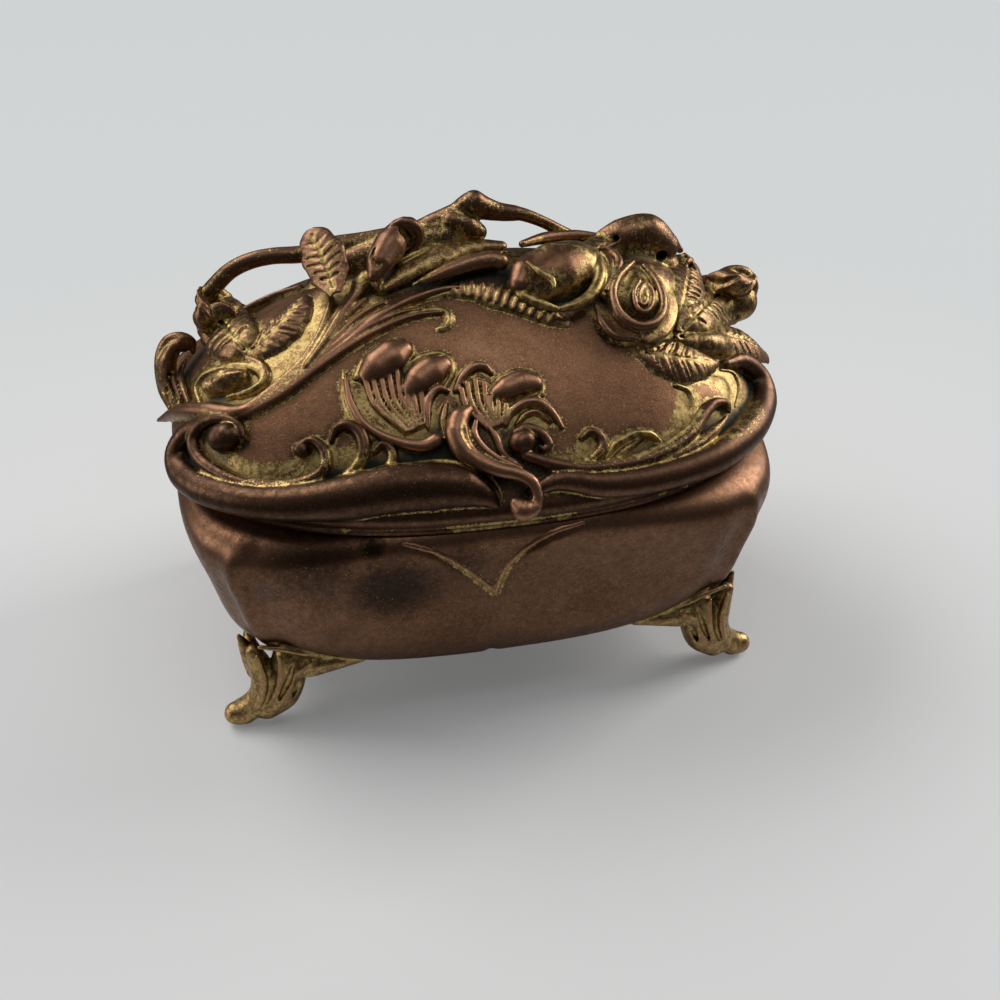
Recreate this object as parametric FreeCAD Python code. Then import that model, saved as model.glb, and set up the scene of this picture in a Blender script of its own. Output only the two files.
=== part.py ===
import FreeCAD, Part
import math
import os

Vector = FreeCAD.Vector

# Driving sizes of the casket, in millimetres. The front is -Y and the floor is Z = 0.
seam_half_width = 69.0
seam_half_depth = 50.0
seam_height = 57.0
seam_gap = 0.3
foot_height = 14.0
lip_height = 5.0
lip_overhang = 0.8
dome_rise = 36.0
body_wall = 2.4
body_floor = 2.6
lid_wall = 2.2

# How square the plan outline is: 2 is an ellipse, more is squarer
seam_squareness = 2.4
outline_points = 32

# Body profile from its underside to its mouth: share of its height, inset from the seam, squareness
body_profile = [
    (0.00, 15.0, 2.8),
    (0.07, 9.5, 2.9),
    (0.30, 5.8, 4.2),
    (0.60, 3.6, 4.8),
    (0.84, 0.5, 4.0),
    (1.00, lip_overhang, seam_squareness),
]

# Bow of the dome, seen from the front and from the side
dome_front_bow = (1.8, 0.5)
dome_side_bow = (1.1, 0.7)
dome_top_share = 0.999
dome_slope_step = 0.01
dome_shares = (0.03, 0.1, 0.2, 0.35, 0.5, 0.65, 0.78, 0.89, 0.96, 0.99)

# Hinge at the back: a five-knuckle butt hinge on flat seats
hinge_length = 34.0
hinge_leaf_height = 7.0
hinge_leaf_thickness = 1.0
knuckle_radius = 2.0
knuckle_count = 5
knuckle_gap = 0.3
pin_radius = 0.9
pin_clearance = 0.05
pin_overhang = 0.6
bore_margin = 1.0
barrel_clearance = 0.4

# Silk lining on card
lining_gap = 0.15
lining_thickness = 2.0
lining_drop = 3.0
board_thickness = 1.2
floor_pad_height = 4.6
floor_pad_crown = 9.0
floor_pad_hem = 1.2
floor_pad_shoulder = 1.6
lid_lining_thickness = 1.8
cord_width = 2.0
cord_height = 2.0

# Feet
toe_inset_x = 8.4
toe_inset_y = 15.7
toe_radius = 3.4
toe_tip_reach = 2.8
ankle_radius = 4.6
ankle_height = 8.6
knee_half_width = 7.6
knee_half_depth = 1.6
toe_flat_depth = 0.9
wing_radius = 1.5
wing_taper = (2.8, 2.0, 0.7)
wing_front_angle = 64.0
wing_side_angle = 25.0

# Raised rim of the lid and the soldered ornament
rim_radius = 4.4
rim_lift = 2.6
branch_radius = 1.9
leaf_depth = 1.7
rose_radius = 11.0
solder_gap = 0.1
section_points = 12
points_per_rib = 8

lip_top = seam_height + lip_height
lid_bottom = seam_height + seam_gap
hinge_seat_y = seam_half_depth - lip_overhang
hinge_y = hinge_seat_y + knuckle_radius
floor_top = foot_height + body_floor
reach = 4 * seam_half_width


# Plan outlines and lofts


def signed_power(value, power):
    return math.copysign(abs(value) ** power, value)


def closed_curve(points):
    curve = Part.BSplineCurve()
    curve.interpolate(Points=points, PeriodicFlag=True)
    return Part.Wire(curve.toShape())


def outline(half_width, half_depth, squareness, z):
    """A superellipse in plan, as a closed wire at height z."""
    points = []
    for step in range(outline_points):
        angle = 2 * math.pi * step / outline_points
        x = half_width * signed_power(math.cos(angle), 2 / squareness)
        y = half_depth * signed_power(math.sin(angle), 2 / squareness)
        points.append(Vector(x, y, z))
    return closed_curve(points)


def loft(wires):
    solid = Part.makeLoft(wires, True, False)
    if solid.Volume < 0:
        solid.reverse()
    return solid


def slab(z_low, z_high):
    """A wide flat block between two heights."""
    corner = Vector(-reach / 2, -reach / 2, z_low)
    return Part.makeBox(reach, reach, z_high - z_low, corner)


def largest_solid(shape):
    return max(shape.Solids, key=lambda solid: solid.Volume)


# The body and the lid as solid lofts, which the shells, pads and cutters share


def body_loft(inset):
    """The bombe body, drawn in by inset on every side."""
    wires = []
    for share, profile_inset, squareness in body_profile:
        z = foot_height + share * (seam_height - foot_height)
        half_width = seam_half_width - profile_inset - inset
        half_depth = seam_half_depth - profile_inset - inset
        wires.append(outline(half_width, half_depth, squareness, z))
    return loft(wires)


def lid_half_sizes(share):
    """Half width and half depth of the dome at a share of its rise, as shares of the seam's."""
    share = min(max(share, 0.0), dome_top_share)
    width_bow, width_power = dome_front_bow
    depth_bow, depth_power = dome_side_bow
    width = (1 - share**width_bow) ** width_power
    depth = (1 - share**depth_bow) ** depth_power
    return width, depth


def lid_loft(inset, z_bottom):
    """The domed lid with its upright lip, drawn in by inset."""
    half_width = seam_half_width - inset
    half_depth = seam_half_depth - inset
    wires = [
        outline(half_width, half_depth, seam_squareness, z_bottom),
        outline(half_width, half_depth, seam_squareness, (z_bottom + lip_top) / 2),
        outline(half_width, half_depth, seam_squareness, lip_top),
    ]
    for share in dome_shares:
        width, depth = lid_half_sizes(share)
        z = lip_top + share * (dome_rise - inset)
        wires.append(outline(half_width * width, half_depth * depth, seam_squareness, z))
    return loft(wires)


# Hinge


def hinge_barrel(radius, margin):
    start = Vector(-hinge_length / 2 - margin, hinge_y, seam_height)
    return Part.makeCylinder(radius, hinge_length + 2 * margin, start, Vector(1, 0, 0))


def hinge_room():
    """What both castings leave free: the flat leaf seats and the barrel's path."""
    width = hinge_length + 2 * barrel_clearance
    height = hinge_leaf_height + lip_height + 2 * barrel_clearance
    low_z = seam_height - hinge_leaf_height - barrel_clearance
    corner = Vector(-width / 2, hinge_seat_y, low_z)
    seats = Part.makeBox(width, 2 * knuckle_radius, height, corner)
    return seats.fuse(hinge_barrel(knuckle_radius + barrel_clearance, barrel_clearance))


def hinge_leaf(first_knuckle, direction, leaf_height):
    """One leaf: a flat plate with every second knuckle, below (-1) or above (1) the pin."""
    plate_start = knuckle_radius + barrel_clearance
    low_z = seam_height + min(direction * plate_start, direction * leaf_height)
    corner = Vector(-hinge_length / 2, hinge_seat_y, low_z)
    leaf = Part.makeBox(hinge_length, hinge_leaf_thickness, leaf_height - plate_start, corner)
    pitch = hinge_length / knuckle_count
    for index in range(first_knuckle, knuckle_count, 2):
        low_x = -hinge_length / 2 + index * pitch + knuckle_gap / 2
        width = pitch - knuckle_gap
        start = Vector(low_x, hinge_y, seam_height)
        knuckle = Part.makeCylinder(knuckle_radius, width, start, Vector(1, 0, 0))
        web_z = seam_height + min(0, direction * plate_start)
        web_corner = Vector(low_x, hinge_seat_y, web_z)
        web = Part.makeBox(width, hinge_leaf_thickness, plate_start, web_corner)
        leaf = leaf.fuse(knuckle).fuse(web)
    bore = hinge_barrel(pin_radius + pin_clearance, bore_margin)
    return largest_solid(leaf.cut(bore).removeSplitter())


def hinge_pin():
    """A plain pin with a rounded head at each end."""
    shank = hinge_barrel(pin_radius, pin_overhang)
    for side in (-1, 1):
        head_x = side * (hinge_length / 2 + pin_overhang)
        head = Part.makeSphere(pin_radius, Vector(head_x, hinge_y, seam_height))
        shank = shank.fuse(head)
    return largest_solid(shank.removeSplitter())


# Shells


def body_casting():
    cavity = body_loft(body_wall).common(slab(floor_top, seam_height + reach))
    shell = body_loft(0).cut(cavity).cut(hinge_room())
    return largest_solid(shell)


def lid_casting():
    hollow = lid_loft(lid_wall, lid_bottom - lid_wall)
    shell = lid_loft(0, lid_bottom).cut(hollow).cut(hinge_room())
    return largest_solid(shell)


# Lining


def wall_pads():
    """Four padded walls that meet at the corners of the box."""
    low_z = floor_top + board_thickness + 2 * lining_gap
    high_z = seam_height - lining_drop
    outer = body_loft(body_wall + lining_gap)
    inner = body_loft(body_wall + lining_gap + lining_thickness)
    ring = outer.cut(inner).common(slab(low_z, high_z))
    half_x = seam_half_width * 2
    half_y = seam_half_depth * 2
    corners = [Vector(half_x, half_y, 0), Vector(-half_x, half_y, 0)]
    corners += [Vector(-half_x, -half_y, 0), Vector(half_x, -half_y, 0)]
    pads = {}
    for index, name in enumerate(("back", "left", "front", "right")):
        first = corners[index]
        second = corners[(index + 1) % 4]
        outward = (first + second).normalize() * lining_gap
        triangle = [outward, first + outward, second + outward, outward]
        wedge = Part.Face(Part.makePolygon(triangle)).extrude(Vector(0, 0, reach))
        pads["wall_pad_" + name] = largest_solid(ring.common(wedge))
    return pads


def floor_board():
    plate = body_loft(body_wall + lining_gap)
    return largest_solid(plate.common(slab(floor_top, floor_top + board_thickness)))


def floor_pad():
    """A crowned cushion on the board, inside the wall pads."""
    low_z = floor_top + board_thickness
    share = (low_z - foot_height) / (seam_height - foot_height)
    base_inset = 0.0
    squareness = seam_squareness
    for low, high in zip(body_profile, body_profile[1:]):
        if low[0] <= share <= high[0]:
            part = (share - low[0]) / (high[0] - low[0])
            base_inset = low[1] + part * (high[1] - low[1])
            squareness = low[2]
    inset = base_inset + body_wall + lining_thickness + 4 * lining_gap
    crown = [(0.0, floor_pad_hem), (0.35, 0.0), (0.7, floor_pad_shoulder)]
    crown += [(0.92, floor_pad_crown / 2), (1.0, floor_pad_crown)]
    wires = []
    for height_share, draw_in in crown:
        half_width = seam_half_width - inset - draw_in
        half_depth = seam_half_depth - inset - draw_in
        z = low_z + height_share * floor_pad_height
        wires.append(outline(half_width, half_depth, squareness, z))
    return loft(wires)


def mouth_cord():
    """The cord that covers the top edge of the wall pads."""
    low_z = seam_height - lining_drop + lining_gap
    outer = body_loft(body_wall + lining_gap)
    inner = body_loft(body_wall + lining_gap + cord_width)
    return largest_solid(outer.cut(inner).common(slab(low_z, low_z + cord_height)))


def lid_lining():
    """A thin padded dome inside the lid."""
    low_z = lid_bottom + lining_drop
    outer = lid_loft(lid_wall + lining_gap, lid_bottom)
    inner = lid_loft(lid_wall + lining_gap + lid_lining_thickness, lid_bottom)
    return largest_solid(outer.cut(inner).common(slab(low_z, low_z + reach)))


def lid_cord():
    """The cord that covers the lower edge of the lid's lining."""
    high_z = lid_bottom + lining_drop - lining_gap
    outer = lid_loft(lid_wall + lining_gap, lid_bottom)
    inner = lid_loft(lid_wall + lining_gap + cord_width, lid_bottom)
    return largest_solid(outer.cut(inner).common(slab(high_z - cord_height, high_z)))


# Limbs: oval sections lofted along a path


def limb_section(centre, side, out, half_width, half_depth, ribs, rib_depth):
    """A closed oval section; ribs crease its outer half from end to end."""
    count = max(section_points, points_per_rib * ribs)
    points = []
    for step in range(count):
        angle = 2 * math.pi * step / count
        across = math.cos(angle)
        rise = math.sin(angle)
        if ribs and rise > 0:
            crease = abs(math.cos(math.pi * ribs * (across + 1) / 2))
            rise = rise * (1 - rib_depth * crease)
        points.append(centre + side * (half_width * across) + out * (half_depth * rise))
    return closed_curve(points)


def limb(points, outs, half_widths, half_depths, ribs=0, rib_depth=0.0, grow=0.0):
    """A solid that follows points; its sections face outs and swell by grow."""
    last = len(points) - 1
    wires = []
    for index, centre in enumerate(points):
        ahead = points[min(index + 1, last)]
        behind = points[max(index - 1, 0)]
        along = (ahead - behind).normalize()
        out = outs[index] - along * outs[index].dot(along)
        out.normalize()
        side = along.cross(out)
        half_width = half_widths[index] + grow
        half_depth = half_depths[index] + grow
        wires.append(limb_section(centre, side, out, half_width, half_depth, ribs, rib_depth))
    return loft(wires)


def rear_right_foot():
    """A cabriole foot with two wings, cut to seat under the body's corner."""

    def body_point(profile_index, angle):
        share, inset, squareness = body_profile[profile_index]
        x = (seam_half_width - inset) * math.cos(math.radians(angle)) ** (2 / squareness)
        y = (seam_half_depth - inset) * math.sin(math.radians(angle)) ** (2 / squareness)
        return Vector(x, y, foot_height + share * (seam_height - foot_height))

    base = body_point(1, 45)
    knee = (base + body_point(2, 45)) * 0.5
    toe_x = seam_half_width - toe_inset_x
    toe_y = seam_half_depth - toe_inset_y
    toe_z = toe_radius - toe_flat_depth
    points = [
        knee,
        base,
        Vector((base.x + toe_x) / 2, toe_y, ankle_height),
        Vector(toe_x, toe_y, toe_z),
        Vector(toe_x + toe_tip_reach, toe_y, toe_z),
    ]
    out = Vector(1, 1, 0).normalize()
    toe_tip_radius = toe_radius - toe_flat_depth
    half_widths = [knee_half_width / 2, knee_half_width, ankle_radius, toe_radius, toe_tip_radius]
    half_depths = [knee_half_depth, ankle_radius, ankle_radius, toe_radius, toe_tip_radius]
    foot = limb(points, [out] * len(points), half_widths, half_depths)
    wing_radii = [wing_radius * taper for taper in wing_taper]
    for tip_angle in (wing_front_angle, wing_side_angle):
        tip = body_point(1, tip_angle)
        start = Vector(base.x, base.y, foot_height - wing_radius)
        middle = (start + tip) * 0.5
        foot = foot.fuse(limb([start, middle, tip], [out] * 3, wing_radii, wing_radii))
    foot = foot.cut(body_loft(-solder_gap)).cut(slab(-reach, 0))
    return largest_solid(foot)


def feet():
    """The four feet, mirrored from one."""
    foot = rear_right_foot()
    across = Vector(1, 0, 0)
    forward = Vector(0, 1, 0)
    origin = Vector(0, 0, 0)
    left_foot = foot.mirror(origin, across)
    return {
        "foot_rear_right": foot,
        "foot_rear_left": left_foot,
        "foot_front_right": foot.mirror(origin, forward),
        "foot_front_left": left_foot.mirror(origin, forward),
    }


# Ornament on the lid, placed by plan angle, share of the dome's rise, and lift off its surface


def on_lid(angle, share, lift):
    """The point at that place, and the dome's outward direction there."""
    width, depth = lid_half_sizes(share)
    power = 2 / seam_squareness
    half_width = seam_half_width * width
    half_depth = seam_half_depth * depth
    x = half_width * signed_power(math.cos(math.radians(angle)), power)
    y = half_depth * signed_power(math.sin(math.radians(angle)), power)
    z = lip_top + dome_rise * share
    next_width, next_depth = lid_half_sizes(share + dome_slope_step)
    shrink_x = (width - next_width) / dome_slope_step / width
    shrink_y = (depth - next_depth) / dome_slope_step / depth
    x_part = abs(x / half_width) ** seam_squareness
    y_part = abs(y / half_depth) ** seam_squareness
    slope_x = x_part / x if x else 0.0
    slope_y = y_part / y if y else 0.0
    slope_z = (x_part * shrink_x + y_part * shrink_y) / dome_rise if share > 0 else 0.0
    out = Vector(slope_x, slope_y, slope_z).normalize()
    return Vector(x, y, z) + out * lift, out


# Each ornament: path of (angle, share of rise, lift), half widths, half depths and ribs. One that stands off the
# dome has stations along a straight line instead, and the way that it faces.
ornaments = {
    "rim_scroll_left": {
        "path": [(-142, 0.27, 1.2), (-146, 0.345, 1.0), (-153, 0.335, 1.0), (-159, 0.25, 1.0)]
        + [(-161.5, 0.14, 1.1), (-158, 0.05, 1.2), (-151, 0.01, 1.3), (-140, 0.015, 1.2), (-128, 0.035, 0.9)]
        + [(-116.5, 0.08, 0.7), (-107, 0.12, 0.4), (-99, 0.125, 0.4), (-94.5, 0.09, 0.5), (-92, 0.04, 0.6)],
        "half_widths": [2.4, 1.7, 1.9, 2.3, 2.7, 3.0, 3.3, 3.4, 3.7, 4.4, 5.0, 4.6, 2.6, 0.9],
        "half_depths": [2.4, 1.7, 1.9, 2.3, 2.7, 3.0, 3.3, 3.4, 3.7, 4.4, 5.0, 4.6, 2.6, 0.9],
    },
    "rim_scroll_right": {
        "path": [(-88, 0.065, 0.4), (-81, 0.08, 0.7), (-72, 0.04, 0.9), (-62, 0.025, 1.0), (-51, 0.03, 1.2)]
        + [(-39, 0.045, 1.3), (-28, 0.06, 1.3), (-20.5, 0.14, 1.3), (-20, 0.24, 1.2), (-25, 0.33, 1.0)]
        + [(-32, 0.37, 0.8)],
        "half_widths": [1.0, 2.5, 2.9, 3.2, 3.6, 3.8, 3.7, 3.3, 2.8, 2.0, 1.2],
        "half_depths": [1.0, 2.5, 2.9, 3.2, 3.6, 3.8, 3.7, 3.3, 2.8, 2.0, 1.2],
    },
    "rim_back_roll": {
        "path": [(165, 0.10, 1.6), (152, 0.06, rim_lift), (130, 0.05, rim_lift), (110, 0.05, rim_lift)]
        + [(90, 0.05, rim_lift)]
        + [(70, 0.05, rim_lift), (50, 0.05, rim_lift), (28, 0.06, rim_lift), (15, 0.10, 1.6)],
        "half_widths": [2.0, 3.6] + [rim_radius] * 5 + [3.6, 2.0],
        "half_depths": [2.0, 3.6] + [rim_radius] * 5 + [3.6, 2.0],
    },
    "end_scroll_left": {
        "path": [(178, 0.41, 1.2), (177.5, 0.47, 3.6), (177.5, 0.45, 6.6), (177.6, 0.365, 7.4)]
        + [(177.8, 0.27, 5.8), (178, 0.19, 3.2), (-179, 0.165, 1.2)],
        "half_widths": [1.4, 1.6, 1.8, 2.3, 2.5, 2.2, 1.4],
        "half_depths": [1.4, 1.6, 1.8, 2.3, 2.5, 2.2, 1.4],
    },
    "stem_bundle": {
        "path": [(-170, 0.20, 1.0), (-154, 0.36, 0.8), (-138, 0.47, 0.8), (-130, 0.60, 0.8)]
        + [(-125, 0.72, 0.8), (-117, 0.82, 0.8), (-104, 0.90, 0.8)],
        "half_widths": [1.2, 3.2, 4.6, 4.6, 4.2, 3.2, 1.2],
        "half_depths": [1.2, 2.2, 2.4, 2.4, 2.4, 2.2, 1.2],
        "ribs": 3,
        "rib_depth": 0.35,
    },
    "shell_fan_left": {
        "path": [(-97, 0.29, 0.4), (-101, 0.38, 0.8), (-106, 0.49, 1.2), (-109, 0.60, 1.4), (-111, 0.67, 1.0)],
        "half_widths": [2.4, 6.0, 9.4, 9.6, 5.6],
        "half_depths": [1.6, 2.8, 3.4, 3.6, 2.0],
        "ribs": 5,
        "rib_depth": 0.45,
    },
    "shell_fan_right": {
        "path": [(-88, 0.32, 0.4), (-87, 0.40, 0.8), (-86.5, 0.48, 1.2), (-87, 0.54, 1.2), (-87, 0.59, 0.8)],
        "half_widths": [2.6, 6.2, 8.6, 8.2, 5.0],
        "half_depths": [1.6, 2.8, 3.2, 3.2, 1.8],
        "ribs": 5,
        "rib_depth": 0.45,
    },
    "shell_drop": {
        "path": [(-94, 0.30, 0.8), (-93, 0.24, 1.6), (-91, 0.16, 2.6), (-89.5, 0.08, 3.2), (-89, -0.02, 3.9)],
        "half_widths": [1.8, 3.6, 3.0, 3.8, 1.8],
        "half_depths": [1.6, 2.4, 2.4, 2.6, 1.6],
        "ribs": 2,
        "rib_depth": 0.35,
    },
    "leaf_left_outer": {
        "path": [(-157, 0.60, 0.6), (-168, 0.62, 1.3), (-178, 0.605, 2.0), (177, 0.60, 5.0), (176.5, 0.61, 9.6)],
        "half_widths": [1.6, 5.4, 6.4, 5.4, 1.6],
        "half_depths": [1.2, leaf_depth, leaf_depth, leaf_depth, 0.8],
        "ribs": 2,
        "rib_depth": 0.3,
    },
    "leaf_left_inner": {
        "path": [(-139, 0.82, 0.8), (-147, 0.76, 1.8), (-153, 0.68, 1.8), (-158, 0.60, 1.0)],
        "half_widths": [1.6, 5.6, 5.0, 1.0],
        "half_depths": [1.2, leaf_depth, leaf_depth, 0.8],
        "ribs": 2,
        "rib_depth": 0.3,
    },
    "leaf_upright": {
        "path": [(-140, 0.83, 0.8), (-176, 0.875, 9.6)],
        "stations": (0.0, 0.3, 0.65, 1.0),
        "half_widths": [2.2, 4.6, 4.4, 1.4],
        "half_depths": [1.2, 1.8, 1.6, 0.9],
        "ribs": 2,
        "rib_depth": 0.3,
        "facing": Vector(-0.35, -1.0, 0.35),
    },
    "tall_bud": {
        "path": [(-124, 0.85, 1.4), (-126, 0.91, 3.2), (-136, 0.96, 4.6), (-170, 0.965, 6.6), (165, 0.96, 8.6)],
        "half_widths": [1.4, 3.2, 4.2, 3.6, 1.0],
        "half_depths": [1.4, 3.2, 4.0, 3.4, 1.0],
    },
    "pod_leaf": {
        "path": [(-112, 0.91, 1.4), (-104, 0.945, 2.0), (-90, 0.955, 2.2), (-80, 0.945, 2.0), (-74, 0.92, 1.2)],
        "half_widths": [1.6, 3.6, 4.2, 3.4, 1.4],
        "half_depths": [1.4, 2.8, 3.2, 2.8, 1.2],
        "ribs": 3,
        "rib_depth": 0.3,
    },
    "scalloped_leaf": {
        "path": [(-98, 0.87, 0.6), (-88, 0.85, 0.9), (-79, 0.79, 0.9), (-73, 0.71, 0.8), (-68, 0.66, 0.4)],
        "half_widths": [1.4, 3.2, 3.8, 3.2, 1.2],
        "half_depths": [1.0, 1.6, 1.8, 1.6, 1.0],
        "ribs": 2,
        "rib_depth": 0.35,
    },
    "egg_bud": {
        "path": [(-77, 0.875, 1.6), (-67, 0.89, 1.0), (-53, 0.90, 0.6), (-42, 0.905, 0.6), (-34, 0.90, 0.6)],
        "half_widths": [2.6, 5.8, 7.0, 6.4, 2.6],
        "half_depths": [2.4, 5.2, 6.2, 5.6, 2.4],
    },
    "leaf_right_upper": {
        "path": [(-32, 0.62, 1.0), (-22, 0.655, 2.4), (-11, 0.665, 3.4), (-1, 0.66, 4.2), (8, 0.65, 5.2)],
        "half_widths": [1.6, 5.0, 6.0, 4.8, 1.4],
        "half_depths": [1.2, leaf_depth, leaf_depth, leaf_depth, 0.8],
        "ribs": 2,
        "rib_depth": 0.3,
    },
    "leaf_right_back": {
        "path": [(-36, 0.58, 0.8), (-22, 0.59, 1.8), (-8, 0.55, 2.2), (1, 0.50, 4.2), (3, 0.45, 8.6)],
        "half_widths": [1.6, 5.6, 7.0, 6.4, 2.2],
        "half_depths": [1.2, leaf_depth, leaf_depth, leaf_depth, 0.8],
        "ribs": 2,
        "rib_depth": 0.3,
    },
    "leaf_right_outer": {
        "path": [(-41, 0.565, 0.8), (-32.5, 0.53, 0.9), (-23, 0.455, 1.3), (-13, 0.325, 2.6), (-6.5, 0.145, 5.4)],
        "half_widths": [1.4, 4.0, 4.8, 4.6, 1.8],
        "half_depths": [1.2, leaf_depth, leaf_depth, leaf_depth, 0.8],
        "ribs": 2,
        "rib_depth": 0.3,
    },
    "leaf_right_lower": {
        "path": [(-57, 0.56, 0.5), (-53, 0.52, 0.8), (-48, 0.48, 0.8), (-42, 0.44, 0.8), (-36, 0.40, 0.6)],
        "half_widths": [1.2, 4.2, 5.0, 3.6, 1.0],
        "half_depths": [1.2, leaf_depth, leaf_depth, leaf_depth, 0.8],
        "ribs": 2,
        "rib_depth": 0.3,
    },
}

# The openwork branch: share of the half width, lift off the ridge, radius
gallery_y = 4.0
gallery_path = [
    (-0.835, -1.5, branch_radius),
    (-0.82, 6.0, branch_radius),
    (-0.775, 10.4, branch_radius),
    (-0.70, 10.6, branch_radius),
    (-0.60, 9.0, branch_radius),
    (-0.50, 7.0, branch_radius),
    (-0.41, 4.4, 2.4),
    (-0.30, 2.2, 2.6),
    (-0.18, 2.6, 2.6),
    (-0.07, 5.6, 3.0),
    (0.04, 8.6, 3.6),
    (0.13, 8.0, 2.2),
    (0.22, 6.8, branch_radius),
    (0.31, 4.8, branch_radius),
    (0.38, 1.8, branch_radius),
    (0.42, -2.0, branch_radius),
]

# The rose: place on the lid, its layers of petals as (height, share of radius) from back to front, and the tall
# petal behind it as (angle, share of rise, lift) with half widths and half depths
rose_place = (-42, 0.74, 1.2)
rose_tilt = Vector(-0.25, -0.35, 0.1)
rose_lobe_depth = 0.1
rose_layers = [
    (5, 0.0, [(-5.0, 0.40), (-0.5, 0.92), (1.8, 1.0)]),
    (5, 36.0, [(-2.0, 0.35), (2.6, 0.70), (4.6, 0.74)]),
    (3, 15.0, [(0.5, 0.25), (5.4, 0.42), (7.2, 0.44), (8.4, 0.30)]),
]
rose_crest_path = [(-16, 0.90, 0.8), (-11, 0.87, 2.4), (-8, 0.84, 3.6), (-6, 0.80, 4.0), (-4, 0.745, 3.2)]
rose_crest_half_widths = [4.0, 6.4, 8.0, 8.0, 6.0]
rose_crest_half_depths = [4.0, 6.0, 7.0, 7.0, 5.4]


def branch_gallery(grow):
    """The branch that arches over the ridge and stands clear of it twice."""
    points = []
    radii = []
    width_bow, width_power = dome_front_bow
    for x_share, lift, radius in gallery_path:
        ridge_share = (1 - abs(x_share) ** (1 / width_power)) ** (1 / width_bow)
        z = lip_top + dome_rise * ridge_share + lift
        points.append(Vector(x_share * seam_half_width, gallery_y, z))
        radii.append(radius)
    return limb(points, [Vector(0, -1, 0)] * len(points), radii, radii, grow=grow)


def rose_bloom(grow):
    """Stacked whorls of petals on one axis, turned against each other."""
    centre, out = on_lid(*rose_place)
    axis = (out + rose_tilt).normalize()
    side = axis.cross(Vector(0, 0, 1)).normalize()
    up = side.cross(axis)
    bloom = None
    for lobes, turn, profile in rose_layers:
        wires = []
        for height, share in profile:
            points = []
            count = points_per_rib * lobes
            for step in range(count):
                angle = 2 * math.pi * step / count
                lobe = rose_lobe_depth * abs(math.sin(lobes / 2 * (angle + math.radians(turn))))
                radius = (rose_radius * share + grow) * (1 - rose_lobe_depth + lobe)
                flat = side * (radius * math.cos(angle)) + up * (radius * math.sin(angle))
                points.append(centre + axis * height + flat)
            wires.append(closed_curve(points))
        whorl = loft(wires)
        bloom = bloom.fuse(whorl) if bloom else whorl
    placed = [on_lid(*place) for place in rose_crest_path]
    points = [point for point, out in placed]
    outs = [out for point, out in placed]
    return bloom.fuse(limb(points, outs, rose_crest_half_widths, rose_crest_half_depths, grow=grow))


def ornament_blank(name, grow):
    """One ornament before it is cut to its seat."""
    if name == "rose_bloom":
        return rose_bloom(grow)
    if name == "branch_gallery":
        return branch_gallery(grow)
    spec = ornaments[name]
    placed = [on_lid(*place) for place in spec["path"]]
    points = [point for point, out in placed]
    outs = [out for point, out in placed]
    if "stations" in spec:
        foot, tip = points
        points = [foot + (tip - foot) * share for share in spec["stations"]]
        outs = [spec["facing"]] * len(points)
    widths = spec["half_widths"]
    depths = spec["half_depths"]
    return limb(points, outs, widths, depths, spec.get("ribs", 0), spec.get("rib_depth", 0.0), grow)


def lid_ornaments():
    """Every ornament, cut back from the lid and from those soldered on before it."""
    kept_free = [lid_loft(-solder_gap, lid_bottom), slab(0, lid_bottom + solder_gap), hinge_room()]
    order = list(ornaments)
    order.insert(order.index("egg_bud"), "rose_bloom")
    order.insert(order.index("leaf_left_outer"), "branch_gallery")
    made = {}
    rooms = []
    for name in order:
        piece = ornament_blank(name, 0.0)
        for room in kept_free + rooms:
            if piece.BoundBox.intersect(room.BoundBox):
                piece = largest_solid(piece.cut(room))
        made[name] = piece
        rooms.append(ornament_blank(name, solder_gap))
    return made


def all_nodes():
    nodes = {"body_casting": body_casting()}
    nodes.update(feet())
    nodes["hinge_leaf_body"] = hinge_leaf(0, -1, hinge_leaf_height)
    nodes["hinge_leaf_lid"] = hinge_leaf(1, 1, lip_height)
    nodes["hinge_pin"] = hinge_pin()
    nodes["floor_board"] = floor_board()
    nodes["floor_pad"] = floor_pad()
    nodes.update(wall_pads())
    nodes["mouth_cord"] = mouth_cord()
    nodes["lid_casting"] = lid_casting()
    nodes["lid_lining"] = lid_lining()
    nodes["lid_cord"] = lid_cord()
    nodes.update(lid_ornaments())
    return nodes


os.makedirs("parts", exist_ok=True)
for node_name, shape in all_nodes().items():
    shape.exportStep("parts/" + node_name + ".step")
    box = shape.BoundBox
    state = "valid" if shape.isValid() else "NOT VALID"
    print(f"{node_name:18s} {shape.Volume:10.1f} mm3 {len(shape.Solids)} solid {state}", end=" ")
    print(f"x {box.XMin:.1f}..{box.XMax:.1f} y {box.YMin:.1f}..{box.YMax:.1f} z {box.ZMin:.1f}..{box.ZMax:.1f}")
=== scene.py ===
import math

import bpy
import numpy as np
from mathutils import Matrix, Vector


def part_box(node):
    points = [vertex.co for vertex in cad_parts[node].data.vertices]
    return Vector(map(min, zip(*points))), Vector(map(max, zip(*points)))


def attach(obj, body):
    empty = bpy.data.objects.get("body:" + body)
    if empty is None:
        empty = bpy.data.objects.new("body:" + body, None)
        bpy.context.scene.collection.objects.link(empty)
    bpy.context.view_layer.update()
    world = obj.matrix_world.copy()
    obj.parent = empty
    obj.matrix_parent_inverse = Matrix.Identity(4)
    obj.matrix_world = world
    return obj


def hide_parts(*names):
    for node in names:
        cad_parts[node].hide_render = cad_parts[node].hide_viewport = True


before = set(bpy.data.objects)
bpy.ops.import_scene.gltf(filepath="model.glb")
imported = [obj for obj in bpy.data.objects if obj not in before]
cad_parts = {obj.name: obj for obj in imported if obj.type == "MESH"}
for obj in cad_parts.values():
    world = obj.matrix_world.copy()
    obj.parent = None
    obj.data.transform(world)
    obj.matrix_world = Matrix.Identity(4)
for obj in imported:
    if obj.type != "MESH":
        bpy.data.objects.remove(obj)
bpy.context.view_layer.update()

import openvdb
from mathutils import Vector
from mathutils.bvhtree import BVHTree

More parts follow.
